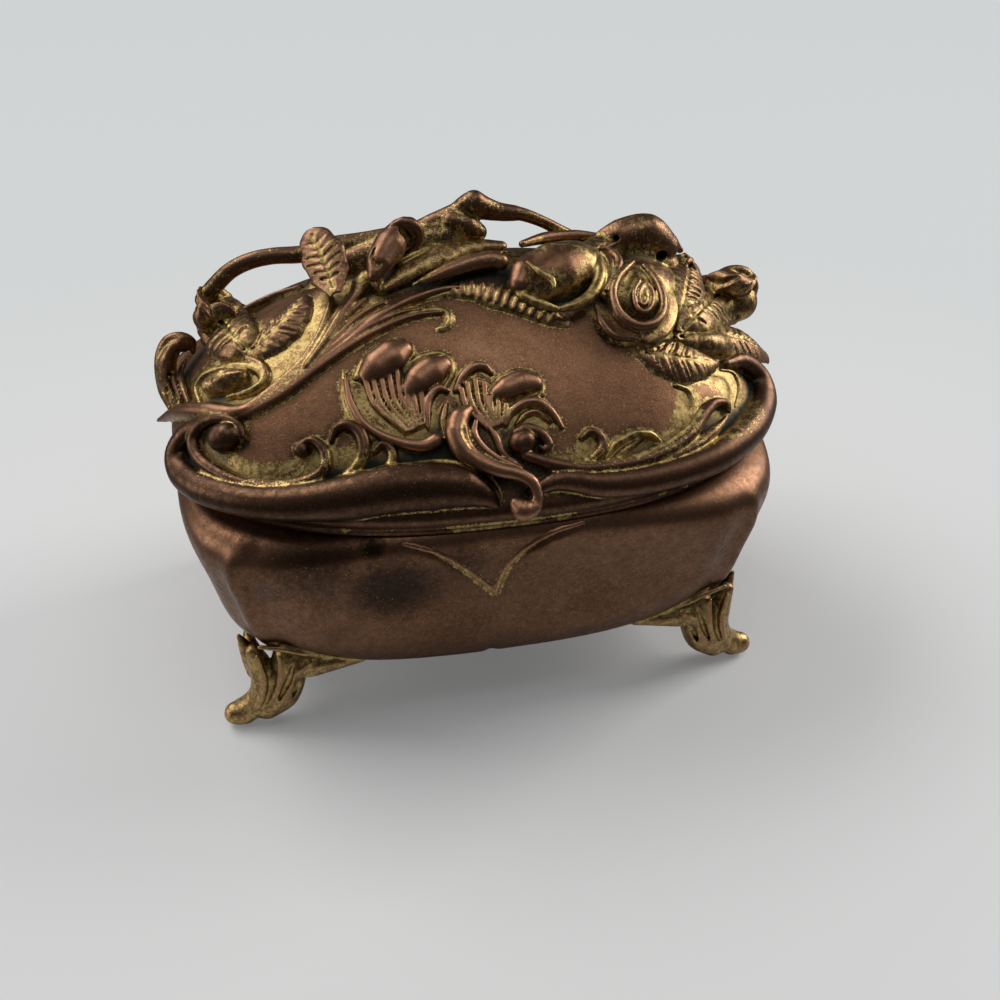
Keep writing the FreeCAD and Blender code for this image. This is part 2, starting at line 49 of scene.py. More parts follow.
# Sculpting is in millimetres; meshes are made in metres
METRE = 0.001

# The lattice, the strokes on it, and the folded leaves
VOXEL = 0.35
FAR = 50.0
COARSE = 2.0
MARGIN = 2.4
FILLET = 0.7
SKIN = 0.05
FILLET_KEPT = 0.9
SINK = 0.9
PATH_STEP = 1.1
LEAF_TOOTH = 0.07
LEAF_HALF = 0.46
LEAF_SWELL = 0.56
MESH_BAND = 3.0
RAY_STEPS = 900

# Reaches over which the relief is blurred, in cells, and the depths at which each mask is full
BLUR_REACHES = {"fine": 1, "middle": 3, "broad": 7}
BLUR_BAND = 2.0
CREASE_FULL = 0.15
HALO_FULL = 0.30
HOLLOW_FULL = 0.80
CROWN_FULL = 0.35
GILD_FADE = 0.4
WASH_FADE = 3.0

# Camera: the photograph's view, as an image of 1000 by 1000 pixels
IMAGE_SIDE = 1000
FOCAL_PIXELS = 1100.0
SENSOR_WIDTH = 36.0
CAMERA_AZIMUTH = math.radians(-11.7)
CAMERA_ELEVATION = math.radians(33.0)
CAMERA_DISTANCE = 246.0
CAMERA_TARGET = np.array([1.6, -30.0, 51.2])

# Planes in which the openwork stands, and the middles that the two shells are seen from
GALLERY_Y = 4.0
CREST_Y = 1.5
RIDGE_Y = 3.0
LID_CENTRE = (0.0, 0.0, 57.4)
BODY_CENTRE = (0.0, 0.0, 40.0)
LID_WALL = 2.2
BODY_WALL = 2.4


# Camera rays


def camera_frame():
    back = np.array(
        [
            math.sin(CAMERA_AZIMUTH) * math.cos(CAMERA_ELEVATION),
            -math.cos(CAMERA_AZIMUTH) * math.cos(CAMERA_ELEVATION),
            math.sin(CAMERA_ELEVATION),
        ]
    )
    right = np.cross([0.0, 0.0, 1.0], back)
    right /= np.linalg.norm(right)
    up = np.cross(back, right)
    return CAMERA_TARGET + back * CAMERA_DISTANCE, right, up, back


EYE, EYE_RIGHT, EYE_UP, EYE_BACK = camera_frame()


def pixel_ray(pixel):
    across = (pixel[0] - IMAGE_SIDE / 2) / FOCAL_PIXELS
    down = (pixel[1] - IMAGE_SIDE / 2) / FOCAL_PIXELS
    ray = EYE_RIGHT * across - EYE_UP * down - EYE_BACK
    return ray / np.linalg.norm(ray)


# The outer skins of the two castings, as signed distance on a lattice


def outer_skin(node, centre):
    """A search tree of the faces of a casting that look away from its middle."""
    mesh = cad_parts[node].data
    points = [vertex.co / METRE for vertex in mesh.vertices]
    middle = Vector(centre)
    faces = []
    for face in mesh.polygons:
        if face.normal.dot(face.center / METRE - middle) > 0:
            faces.append(tuple(face.vertices))
    return BVHTree.FromPolygons(points, faces)


def axis_weights(fine, coarse):
    """Linear weights that carry values from coarse to fine places along one axis."""
    place = np.clip((fine - coarse[0]) / COARSE, 0, len(coarse) - 1.001)
    index = place.astype(int)
    share = place - index
    weights = np.zeros((len(fine), len(coarse)), np.float32)
    rows = np.arange(len(fine))
    weights[rows, index] = 1 - share
    weights[rows, index + 1] = share
    return weights


class World:
    """The lattice around one casting, shared by all the ornament that sits on it."""

    def __init__(self, node, centre, low, high):
        self.low = np.array(low, float)
        counts = np.ceil((np.array(high) - self.low) / VOXEL).astype(int) + 1
        self.axes = [self.low[i] + VOXEL * np.arange(counts[i]) for i in range(3)]
        self.tree = outer_skin(node, centre)
        self.ground = self.ground_distance()
        self.solid = np.clip(self.ground, -FAR, FAR)
        self.gilt = np.full(self.ground.shape, FAR, np.float32)
        self.wash = np.full(self.ground.shape, FAR, np.float32)

    def ground_distance(self):
        coarse_axes = [np.arange(axis[0], axis[-1] + COARSE, COARSE) for axis in self.axes]
        coarse = np.zeros([len(axis) for axis in coarse_axes], np.float32)
        for i, x in enumerate(coarse_axes[0]):
            for j, y in enumerate(coarse_axes[1]):
                for k, z in enumerate(coarse_axes[2]):
                    point = Vector((x, y, z))
                    place, normal, index, distance = self.tree.find_nearest(point)
                    side = (point - place).dot(normal)
                    coarse[i, j, k] = math.copysign(distance, side)
        field = coarse
        for axis in range(3):
            weights = axis_weights(self.axes[axis], coarse_axes[axis])
            field = np.moveaxis(np.tensordot(weights, field, axes=(1, axis)), 0, axis)
        return np.ascontiguousarray(field, np.float32)

    def sample(self, field, points):
        """Values of a lattice field at any points, by linear interpolation."""
        place = (np.asarray(points) - self.low) / VOXEL
        place = np.clip(place, 0, np.array(field.shape) - 1.001)
        index = place.astype(int)
        share = place - index
        total = 0.0
        for corner in range(8):
            step = np.array([corner & 1, corner >> 1 & 1, corner >> 2 & 1])
            weight = np.prod(np.where(step, share, 1 - share), axis=-1)
            at = index + step
            total = total + weight * field[at[..., 0], at[..., 1], at[..., 2]]
        return total

    def outward(self, points):
        """Directions away from the casting at any points."""
        reach = 2 * VOXEL
        slope = np.zeros(np.shape(points))
        for axis in range(3):
            step = np.zeros(3)
            step[axis] = reach
            ahead = self.sample(self.ground, points + step)
            slope[..., axis] = ahead - self.sample(self.ground, points - step)
        return slope / np.maximum(np.linalg.norm(slope, axis=-1, keepdims=True), 1e-6)

    def on_skin(self, pixel, lift):
        """The place behind a pixel on the casting grown by lift, or else in the plane of its ridge."""
        ray = pixel_ray(pixel)
        to_ridge = (RIDGE_Y - EYE[1]) / ray[1]
        steps = np.linspace(CAMERA_DISTANCE * 0.5, to_ridge, RAY_STEPS)
        points = EYE + steps[:, None] * ray
        heights = self.sample(self.ground, points) - lift
        below = np.nonzero(heights < 0)[0]
        if len(below) == 0:
            return points[-1]
        first = max(below[0], 1)
        share = heights[first - 1] / (heights[first - 1] - heights[first])
        return points[first - 1] + (points[first] - points[first - 1]) * share

    def window(self, points, reach):
        """Slices of the lattice around points."""
        low = np.min(points, axis=0) - reach - self.low
        high = np.max(points, axis=0) + reach - self.low
        first = np.maximum(np.floor(low / VOXEL).astype(int), 0)
        last = np.minimum(np.ceil(high / VOXEL).astype(int) + 1, self.ground.shape)
        return tuple(slice(a, b) for a, b in zip(first, last))


lid_world = World("lid_casting", LID_CENTRE, (-78, -60, 53), (78, 60, 114))
base_world = World("body_casting", BODY_CENTRE, (-78, -60, -2), (78, 60, 58))


# Strokes: paths of round or flattened section


def spread(values, count):
    """One value, or a few, spread evenly over count places."""
    values = np.atleast_1d(np.asarray(values, float))
    return np.interp(np.linspace(0, 1, count), np.linspace(0, 1, len(values)), values)


def smooth_path(points):
    """A smooth line through points, in short even steps."""
    points = np.asarray(points, float)
    if len(points) < 3:
        count = max(2, int(np.linalg.norm(points[-1] - points[0]) / PATH_STEP) + 1)
        share = np.linspace(0, 1, count)[:, None]
        return points[0] + (points[-1] - points[0]) * share, np.linspace(0, 1, count)
    ends = np.vstack([2 * points[0] - points[1], points, 2 * points[-1] - points[-2]])
    line = []
    place = []
    for index in range(len(points) - 1):
        before, start, stop, after = ends[index : index + 4]
        count = max(2, int(np.linalg.norm(stop - start) / PATH_STEP) + 1)
        for share in np.arange(count) / count:
            square = share * share
            cube = square * share
            spline = 2 * start + (stop - before) * share
            spline = spline + (2 * before - 5 * start + 4 * stop - after) * square
            spline = spline + (3 * start - before - 3 * stop + after) * cube
            line.append(spline / 2)
            place.append((index + share) / (len(points) - 1))
    line.append(points[-1])
    place.append(1.0)
    return np.array(line), np.array(place)


def smooth_min(first, second, blend):
    overlap = np.maximum(blend - np.abs(first - second), 0) / blend
    return np.minimum(first, second) - overlap * overlap * blend / 4


def stroke_distance(axes, line, radii, outs, flat):
    """Signed distance to a tube along line, flattened along outs by flat."""
    field = np.full([len(axis) for axis in axes], FAR, np.float32)
    stretch = 1 / flat**2 - 1
    for index in range(len(line) - 1):
        start, stop = line[index], line[index + 1]
        first, last = radii[index], radii[index + 1]
        reach = max(first, last) + MARGIN
        cut = []
        for axis in range(3):
            low = np.searchsorted(axes[axis], min(start[axis], stop[axis]) - reach)
            high = np.searchsorted(axes[axis], max(start[axis], stop[axis]) + reach)
            cut.append(slice(low, high))
        x = (axes[0][cut[0]] - start[0])[:, None, None]
        y = (axes[1][cut[1]] - start[1])[None, :, None]
        z = (axes[2][cut[2]] - start[2])[None, None, :]
        run = stop - start
        out = outs[index]
        dot = x * run[0] + y * run[1] + z * run[2]
        square = x * x + y * y + z * z
        length = run @ run
        if flat < 1:
            height = x * out[0] + y * out[1] + z * out[2]
            tilt = run @ out
            dot = dot + stretch * tilt * height
            square = square + stretch * height * height
            length = length + stretch * tilt * tilt
        share = np.clip(dot / max(length, 1e-9), 0, 1)
        square = square - 2 * share * dot + share * share * length
        distance = np.sqrt(np.maximum(square, 0)) - (first + share * (last - first))
        distance = distance * (0.5 + 0.5 * flat)
        part = field[tuple(cut)]
        np.minimum(part, distance, out=part)
    return field


def brush(world, points, radii):
    """Marks a broad stroke of thin gilt on a lattice."""
    line, place = smooth_path(points)
    radii = spread(radii, len(line))
    part = world.window(line, radii.max() + MARGIN)
    axes = [axis[cut] for axis, cut in zip(world.axes, part)]
    distance = stroke_distance(axes, line, radii, line, 1.0)
    np.minimum(world.wash[part], distance, out=world.wash[part])


class Ornament:
    """One sculpted piece: strokes that are raised, carved or gilded on a casting."""

    def __init__(self, name, world=lid_world):
        self.name = name
        self.world = world
        self.strokes = []

    def trace(self, pixels, lifts):
        """Points on the casting behind pixels of the photograph."""
        lifts = spread(lifts, len(pixels))
        return np.array([self.world.on_skin(pixel, lift) for pixel, lift in zip(pixels, lifts)])

    def stroke(self, points, radii, kind, flat=1.0, blend=0.6, gilt=False, face=None):
        line, place = smooth_path(points)
        radii = np.atleast_1d(np.asarray(radii, float))
        radii = np.interp(place, np.linspace(0, 1, len(radii)), radii)
        outs = self.world.outward(line) if face is None else np.tile(face, (len(line), 1))
        self.strokes.append((kind, line, radii, outs, flat, blend, gilt))
        return line, radii, outs

    def ridge(self, pixels, radii, lifts=0.0, **more):
        return self.stroke(self.trace(pixels, lifts), radii, "raise", **more)

    def groove(self, pixels, radii, lifts=0.0, **more):
        return self.stroke(self.trace(pixels, lifts), radii, "carve", **more)

    def gild(self, pixels, radii, lifts=0.0):
        return self.stroke(self.trace(pixels, lifts), radii, "paint", gilt=True)

    def line_work(self, pixels, lifts=0.4, radii=(0.35, 0.5, 0.35)):
        """A thin raised gilt line."""
        return self.ridge(pixels, radii, lifts, blend=0.35, gilt=True)

    def leaf(self, points, half_widths, veins=7, fold=0.35, flat=0.34, face=None):
        """A folded blade: two halves that meet in a sunk midrib, with slanted veins and a toothed edge."""
        line, place = smooth_path(points)
        widths = np.interp(place, np.linspace(0, 1, len(half_widths)), half_widths)
        outs = self.world.outward(line) if face is None else np.tile(face, (len(line), 1))
        along = np.gradient(line, axis=0)
        along /= np.linalg.norm(along, axis=1, keepdims=True)
        outs = outs - along * np.sum(outs * along, axis=1, keepdims=True)
        outs /= np.linalg.norm(outs, axis=1, keepdims=True)
        across = np.cross(along, outs)
        teeth = 1 + LEAF_TOOTH * np.cos(4 * math.pi * veins * place)
        for side in (-1, 1):
            middle = line + across * (side * LEAF_HALF * widths)[:, None]
            tilt = outs + across * (side * fold)
            tilt /= np.linalg.norm(tilt, axis=1, keepdims=True)
            self.strokes.append(("raise", middle, LEAF_SWELL * widths * teeth, tilt, flat, 0.4, False))
            for vein in range(1, veins + 1):
                at = int((len(line) - 1) * (0.08 + 0.78 * vein / (veins + 1)))
                rib = []
                for share in (0.1, 0.5, 0.9):
                    bulge = math.sqrt(max(1 - ((share - LEAF_HALF) / LEAF_SWELL) ** 2, 0.05))
                    rise = widths[at] * (LEAF_SWELL * flat * bulge - fold * (share - LEAF_HALF))
                    place_on_edge = line[at] + across[at] * (side * share * widths[at])
                    rib.append(place_on_edge + along[at] * (share * 0.6 * widths[at]) + outs[at] * rise)
                self.stroke(rib, (0.3, 0.34, 0.2), "carve", blend=0.3, face=outs[at])
        crown = line + outs * (widths * (LEAF_SWELL * flat + 0.3 * fold))[:, None]
        inner = slice(1, max(3, int(len(line) * 0.92)))
        self.stroke(crown[inner], (0.45, 0.5, 0.3), "carve", blend=0.3, gilt=True)

    def carve(self):
        """The piece's own distance field, filleted to the casting and sunk a little into it."""
        solid = [stroke for stroke in self.strokes if stroke[0] == "raise"]
        points = np.vstack([stroke[1] for stroke in solid])
        reach = max(stroke[2].max() for stroke in solid) + MARGIN
        window = self.world.window(points, reach)
        first = [part.start for part in window]
        field = np.full([part.stop - part.start for part in window], FAR, np.float32)
        for kind, line, radii, outs, flat, blend, gilt in self.strokes:
            part = self.world.window(line, radii.max() + MARGIN)
            part = tuple(slice(max(p.start, w.start), min(p.stop, w.stop)) for p, w in zip(part, window))
            if any(p.stop <= p.start for p in part):
                continue
            axes = [self.world.axes[i][part[i]] for i in range(3)]
            distance = stroke_distance(axes, line, radii, outs, flat)
            own = tuple(slice(p.start - f, p.stop - f) for p, f in zip(part, first))
            if kind == "raise":
                field[own] = smooth_min(field[own], distance, blend)
            elif kind == "carve":
                field[own] = -smooth_min(-field[own], distance, blend)
            if gilt:
                np.minimum(self.world.gilt[part], distance, out=self.world.gilt[part])
        ground = self.world.ground[window]
        whole = smooth_min(field, ground - SKIN, FILLET)
        whole = np.maximum(whole, -(ground + SINK))
        whole = np.maximum(whole, -self.world.axes[2][window[2]][None, None, :])
        self.field = np.maximum(whole, field - FILLET_KEPT * FILLET)
        self.low = np.array([axis[f] for axis, f in zip(self.world.axes, first)])
        np.minimum(self.world.solid[window], self.field, out=self.world.solid[window])
        self.strokes = []

    def polygons(self):
        grid = openvdb.FloatGrid(MESH_BAND)
        inside = np.clip(np.pad(self.field, 1, constant_values=MESH_BAND), -MESH_BAND, MESH_BAND)
        grid.copyFromArray(np.ascontiguousarray(inside))
        points, triangles, quads = grid.convertToPolygons(isovalue=0.0, adaptivity=0.0)
        return (points - 1) * VOXEL + self.low, quads[:, ::-1]


def blurred(field, reach):
    """A lattice field averaged over a cube, twice."""
    for turn in range(2):
        for axis in range(3):
            padding = [(0, 0)] * 3
            padding[axis] = (reach + 1, reach)
            total = np.cumsum(np.pad(field, padding, mode="edge"), axis=axis, dtype=np.float64)
            high = np.take(total, range(2 * reach + 1, total.shape[axis]), axis=axis)
            low = np.take(total, range(0, total.shape[axis] - 2 * reach - 1), axis=axis)
            field = ((high - low) / (2 * reach + 1)).astype(np.float32)
    return field


def relief_maps(world):
    """The lattice's solid, blurred over short, middling and long reaches."""
    near = np.clip(world.solid, -BLUR_BAND, BLUR_BAND)
    return {name: blurred(near, reach) for name, reach in BLUR_REACHES.items()}


def shade_attributes(mesh, world, maps, points, least_wash=0.0):
    """Masks for the finish, read from the lattice at each vertex."""
    fine, middle, broad = (world.sample(maps[reach], points) for reach in BLUR_REACHES)
    values = {
        "crease": np.clip(-fine / CREASE_FULL, 0, 1),
        "halo": np.clip(-middle / HALO_FULL, 0, 1),
        "hollow": np.clip(-broad / HOLLOW_FULL, 0, 1),
        "crown": np.clip(middle / CROWN_FULL, 0, 1),
        "gild": np.clip(1 - world.sample(world.gilt, points) / GILD_FADE, 0, 1),
        "wash": np.clip(-world.sample(world.wash, points) / WASH_FADE, least_wash, 1),
    }
    for name, value in values.items():
        paint(mesh, name, value)


def paint(mesh, name, value):
    """One value at each vertex, for the finish to read."""
    layer = mesh.attributes.new(name, "FLOAT", "POINT")
    layer.data.foreach_set("value", np.asarray(value, np.float32))


def new_piece(name, points, faces, body):
    mesh = bpy.data.meshes.new(name)
    mesh.from_pydata(np.asarray(points) * METRE, [], np.asarray(faces))
    mesh.shade_smooth()
    piece = bpy.data.objects.new(name, mesh)
    bpy.context.scene.collection.objects.link(piece)
    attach(piece, body)
    return piece


# Materials


def shader_graph(name):
    material = bpy.data.materials.new(name)
    material.use_nodes = True
    tree = material.node_tree
    return material, tree, tree.nodes["Principled BSDF"]


def add_node(tree, kind, inputs=None, **settings):
    node = tree.nodes.new(kind)
    for key, value in settings.items():
        setattr(node, key, value)
    for key, value in (inputs or {}).items():
        if isinstance(value, bpy.types.NodeSocket):
            tree.links.new(value, node.inputs[key])
        else:
            node.inputs[key].default_value = value
    return node


def noise(tree, scale, detail=3.0, roughness=0.6):
    place = add_node(tree, "ShaderNodeTexCoord")
    inputs = {"Vector": place.outputs["Object"], "Scale": scale, "Detail": detail, "Roughness": roughness}
    return add_node(tree, "ShaderNodeTexNoise", inputs).outputs["Fac"]


def mask(tree, name):
    return add_node(tree, "ShaderNodeAttribute", attribute_name=name).outputs["Fac"]


def math_node(tree, operation, first, second=0.0):
    return add_node(tree, "ShaderNodeMath", {0: first, 1: second}, operation=operation).outputs[0]


def times(tree, first, second):
    return math_node(tree, "MULTIPLY", first, second)


def plus(tree, first, second):
    return math_node(tree, "ADD", first, second)


def ramp(tree, value, low, high, start=0.0, stop=1.0):
    inputs = {"Value": value, "From Min": low, "From Max": high, "To Min": start, "To Max": stop}
    node = add_node(tree, "ShaderNodeMapRange", inputs, interpolation_type="SMOOTHSTEP")
    return node.outputs["Result"]


def blend(tree, share, first, second):
    node = add_node(tree, "ShaderNodeMix", data_type="RGBA")
    for socket, value in ((node.inputs[0], share), (node.inputs[6], first), (node.inputs[7], second)):
        if isinstance(value, bpy.types.NodeSocket):
            tree.links.new(value, socket)
        else:
            socket.default_value = value
    return node.outputs[2]


COPPER_LIGHT = (0.30, 0.155, 0.085, 1)
COPPER_DARK = (0.17, 0.083, 0.043, 1)
COPPER_WORN = (0.42, 0.22, 0.13, 1)
# Painted shade: the colour the copper takes close around the relief
COPPER_PAINTED_SHADE = (0.05, 0.026, 0.014, 1)
# Colour of the noise stains, also used for painted shade on the lip and the ornament
COPPER_STAIN_AND_SHADE = (0.035, 0.018, 0.011, 1)
GILT_LIGHT = (0.54, 0.40, 0.16, 1)
GILT_DARK = (0.22, 0.14, 0.047, 1)
# Verdigris with painted shade, for the deepest hollows
VERDIGRIS_AND_SHADE = (0.014, 0.017, 0.012, 1)


def antique_metal(name, gilt_share, stain_share):
    """Worn copper plate, paler on its crowns, with gilt in its creases, painted shade around its relief,
    grime with painted shade in its hollows, and stains with painted shade where a mask asks for them.
    """
    material, tree, shader = shader_graph(name)
    speckle = noise(tree, 2600.0, 2.0, 0.7)
    grain = noise(tree, 700.0, 4.0, 0.65)
    cloud = noise(tree, 45.0, 4.0, 0.6)
    rubbed = times(tree, math_node(tree, "SUBTRACT", grain, 0.5), 1.6)
    flecked = times(tree, math_node(tree, "SUBTRACT", speckle, 0.5), 1.8)
    tone = plus(tree, times(tree, cloud, 0.5), times(tree, speckle, 0.5))
    copper = blend(tree, ramp(tree, tone, 0.38, 0.62), COPPER_DARK, COPPER_LIGHT)
    copper = blend(tree, times(tree, mask(tree, "crown"), 0.7), copper, COPPER_WORN)
    # Painted shade: the copper darkens close around the relief, between forms
    copper = blend(tree, times(tree, mask(tree, "halo"), 0.85), copper, COPPER_PAINTED_SHADE)
    stain_and_shade = times(tree, ramp(tree, noise(tree, 22.0, 5.0, 0.62), 0.50, 0.74), stain_share)
    # Painted shade on the lip and the ornament, and darkening of the body, join the noise stains
    darkening = plus(tree, mask(tree, "soot_and_shade"), times(tree, rubbed, 0.4))
    stain_and_shade = math_node(tree, "MAXIMUM", stain_and_shade, ramp(tree, darkening, 0.0, 1.0))
    copper = blend(tree, stain_and_shade, copper, COPPER_STAIN_AND_SHADE)
    gilt_tone = ramp(tree, plus(tree, grain, times(tree, flecked, 0.3)), 0.36, 0.66)
    gilt = blend(tree, gilt_tone, GILT_DARK, GILT_LIGHT)
    creased = times(tree, mask(tree, "crease"), 1.25)
    lines = math_node(tree, "MAXIMUM", creased, mask(tree, "gild"))
    leafed = plus(tree, lines, plus(tree, rubbed, flecked))
    washed = times(tree, mask(tree, "wash"), 0.85)
    leafed = plus(tree, leafed, washed)
    leafed = math_node(tree, "SUBTRACT", leafed, times(tree, mask(tree, "crown"), 0.25))
    gilded = ramp(tree, plus(tree, leafed, gilt_share), 0.50, 0.82)
    dusted = plus(tree, speckle, times(tree, mask(tree, "halo"), 0.10))
    gilded = math_node(tree, "MAXIMUM", gilded, ramp(tree, dusted, 0.66, 0.72, 0.0, 0.7))
    colour = blend(tree, gilded, copper, gilt)
    # Grime with painted shade: the deepest hollows go near black, rougher and less metallic
    grime_and_shade = plus(tree, mask(tree, "hollow"), times(tree, rubbed, 0.35))
    grimed_and_shaded = ramp(tree, grime_and_shade, 0.36, 0.78)
    colour = blend(tree, grimed_and_shaded, colour, VERDIGRIS_AND_SHADE)
    tree.links.new(colour, shader.inputs["Base Color"])
    worn = plus(tree, ramp(tree, grain, 0.3, 0.7, 0.34, 0.46), times(tree, grimed_and_shaded, 0.3))
    tree.links.new(worn, shader.inputs["Roughness"])
    tree.links.new(ramp(tree, grimed_and_shaded, 0.0, 1.0, 0.97, 0.35), shader.inputs["Metallic"])
    height = plus(tree, times(tree, grain, 0.6), times(tree, speckle, 0.4))
    bump = add_node(tree, "ShaderNodeBump", {"Strength": 0.3, "Distance": 0.0003, "Height": height})
    tree.links.new(bump.outputs["Normal"], shader.inputs["Normal"])
    return material


patina = antique_metal("antique_copper", -0.05, 0.3)
body_patina = antique_metal("antique_copper_body", -0.25, 0.9)
foot_gilt = antique_metal("worn_gilt", 0.85, 0.1)


# Shells of the lid and the body, read off the castings


# Rings of the shells: how many there are, and the shares at which flat ends are closed
LONGITUDES = 480
DOME_RINGS = 150
BODY_RINGS = 120
INNER_STEP = 6
UNDERSIDE_SHARES = (0.02, 0.3, 0.6, 0.85, 0.97)
BOTTOM_SHARES = (0.9, 0.5, 0.02)

# The pointed bracket on the front of the body, drawn over the photograph, and the lobes that swell below it
BRACKET_LEFT = [(405, 544), (436, 553), (467, 571), (496, 593)]
BRACKET_RIGHT = [(496, 591), (506, 569), (527, 548), (552, 533), (583, 522)]
LOBE_RISE = 0.9
LOBE_EDGE = 1.6
LOBE_HEIGHT = 17.0
LOBE_FADE = 9.0
CREASE_DEPTH = 0.8
CREASE_WIDTH = 1.3

# The sharp ridge down each corner of the body, with a cove on each side of it
RIDGE_RISE = 1.1
RIDGE_WIDTH = 1.9
COVE_DEPTH = 0.5
CORNER_ORDER = 4
COVE_OFFSET = 4.6
COVE_WIDTH = 2.6
RIDGE_FOOT, RIDGE_HEAD, RIDGE_FADE = 15.0, 56.0, 12.0

# How much thin gilt is left on the ornament, with the pieces that have less
ORNAMENT_WASH = 0.75
PLAIN_PIECES = {"rim_scroll_left": 0.2, "rim_scroll_right": 0.25, "egg_bud": 0.1, "tall_bud": 0.3}
PLAIN_PIECES.update({"shell_fan_left": 0.25, "shell_fan_right": 0.25, "shell_drop": 0.2})
PLAIN_PIECES.update({"left_boss": 0.45, "stem_bundle": 0.55})

# Painted shade on the lip, the rolls of the rim and the rest of the ornament, and how much darker the body is
# made
LIP_SHADE, LIP_TOP, LIP_FADE = 0.65, 64.0, 2.5
BODY_DARKENING = 0.38
ORNAMENT_SHADE = 0.4
SHADED_PIECES = {"rim_scroll_left": 0.7, "rim_scroll_right": 0.6, "egg_bud": 0.3, "tall_bud": 0.5}
SHADED_PIECES.update({"shell_fan_left": 0.1, "shell_fan_right": 0.15, "shell_drop": 0.2})
SHADED_PIECES.update({"pod_leaf": 0.35, "branch_gallery": 0.55})

# Darker patches on the front of the body: pixel, radius in millimetres and strength
BODY_DARK_PATCHES = [((392, 588), 13.0, 1.0), ((318, 566), 17.0, 0.75), ((372, 546), 4.0, 1.0), ((262, 592), 9.0, 0.6)]
BODY_DARK_PATCHES += [((462, 560), 8.0, 0.7), ((536, 604), 11.0, 0.45), ((250, 545), 4.0, 0.8), ((620, 575), 12.0, 0.3)]

BRACKET = np.array([base_world.on_skin(pixel, 0.0) for pixel in BRACKET_LEFT[:-1] + BRACKET_RIGHT])
BRACKET_TIP = base_world.on_skin(BRACKET_LEFT[-1], 0.0)


def skin_ring(world, start, directions):
    ring = []
    for direction in directions:
        place, normal, index, distance = world.tree.ray_cast(Vector(start), Vector(direction))
        ring.append(np.array(place))
    return np.array(ring)


def rings_to_faces(rings):
    faces = []
    count = LONGITUDES
    for row in range(len(rings) - 1):
        for step in range(count):
            after = (step + 1) % count
            low = row * count
            high = low + count
            faces.append((low + step, low + after, high + after, high + step))
    return faces


def drawn_in(ring, wall):
    """A ring moved towards the axis by a wall, measured in plan."""
    inner = ring.copy()
    reach = np.linalg.norm(ring[:, :2], axis=1, keepdims=True)
    inner[:, :2] = ring[:, :2] * (1 - wall / np.maximum(reach, wall + 0.1))
    return inner


TURNS = np.linspace(0, 2 * math.pi, LONGITUDES, endpoint=False)


def lid_rings():
    """The dome from the middle of its ceiling, down to its lip and up over its skin."""
    rings = []
    for rise in np.radians(np.linspace(0.05, 89.9, DOME_RINGS)):
        flat = math.cos(rise)
        ways = [(math.cos(t) * flat, math.sin(t) * flat, math.sin(rise)) for t in TURNS]
        rings.append(skin_ring(lid_world, LID_CENTRE, ways))
    ceiling = []
    for ring in rings[-1 : INNER_STEP - 1 : -INNER_STEP]:
        reach = np.linalg.norm(ring - LID_CENTRE, axis=1, keepdims=True)
        ceiling.append(LID_CENTRE + (ring - LID_CENTRE) * (1 - LID_WALL / reach))
    return ceiling + [drawn_in(rings[0], LID_WALL)] + rings


def near_arc(points, arc):
    """How far points lie below a line on the front, in height, and how far inside its ends, as a share."""
    order = np.argsort(arc[:, 0])
    across = arc[order, 0]
    drop = np.interp(points[:, 0], across, arc[order, 2]) - points[:, 2]
    inside = np.minimum(points[:, 0] - across[0], across[-1] - points[:, 0]) / LOBE_FADE
    return drop, np.clip(inside, 0, 1)


def swollen(ring):
    """A ring of the body with two lobes on its front, below the bracket, and a crease between them."""
    drop, inside = near_arc(ring, BRACKET)
    rise = np.clip(drop / LOBE_EDGE, 0, 1) * np.exp(-((drop / LOBE_HEIGHT) ** 2)) * inside * LOBE_RISE
    crease = np.exp(-(((ring[:, 0] - BRACKET_TIP[0]) / CREASE_WIDTH) ** 2)) * (drop > 0) * CREASE_DEPTH
    grown = ring.copy()
    grown[:, 1] -= np.where(ring[:, 1] < 0, rise - crease, 0.0)
    return grown


def corner_curve(rings):
    """The corner of the body at any height: a smooth curve through the most cornered place of each ring."""
    corners = []
    for ring in rings:
        reach = np.abs(ring[:, :2])
        cornered = reach[:, 0] / reach[:, 0].max() + reach[:, 1] / reach[:, 1].max()
        corners.append(np.append(reach[np.argmax(cornered)], ring[0, 2]))
    corners = np.array(corners)
    return [np.polyfit(corners[:, 2], corners[:, axis], CORNER_ORDER) for axis in range(2)]


def ridged(ring, curve):
    """A ring of the body with a sharp ridge at its four corners."""
    reach = np.abs(ring[:, :2])
    height = ring[0, 2]
    strength = np.clip((height - RIDGE_FOOT) / RIDGE_FADE, 0, 1)
    strength = strength * np.clip((RIDGE_HEAD - height) / RIDGE_FADE, 0, 1)
    corner = [np.polyval(part, height) for part in curve]
    away = np.linalg.norm(reach - corner, axis=1)
    rise = RIDGE_RISE * np.exp(-((away / RIDGE_WIDTH) ** 2))
    rise = rise - COVE_DEPTH * np.exp(-(((away - COVE_OFFSET) / COVE_WIDTH) ** 2))
    grown = ring.copy()
    length = np.linalg.norm(ring[:, :2], axis=1, keepdims=True)
    grown[:, :2] *= 1 + (strength * rise)[:, None] / length
    return grown


def lip_shade(points):
    """Painted shade on the lid: its upright lip is painted darker than its dome."""
    return LIP_SHADE * np.clip((LIP_TOP - points[:, 2]) / LIP_FADE, 0, 1)


def body_darkening(points):
    """How much darker each point of the body is made."""
    soot_and_shade = np.full(len(points), BODY_DARKENING)
    for pixel, radius, strength in BODY_DARK_PATCHES:
        spot = base_world.on_skin(pixel, 0.0)
        distance = np.linalg.norm(points - spot, axis=1)
        soot_and_shade = np.maximum(soot_and_shade, strength * np.exp(-((distance / radius) ** 2)))
    return soot_and_shade


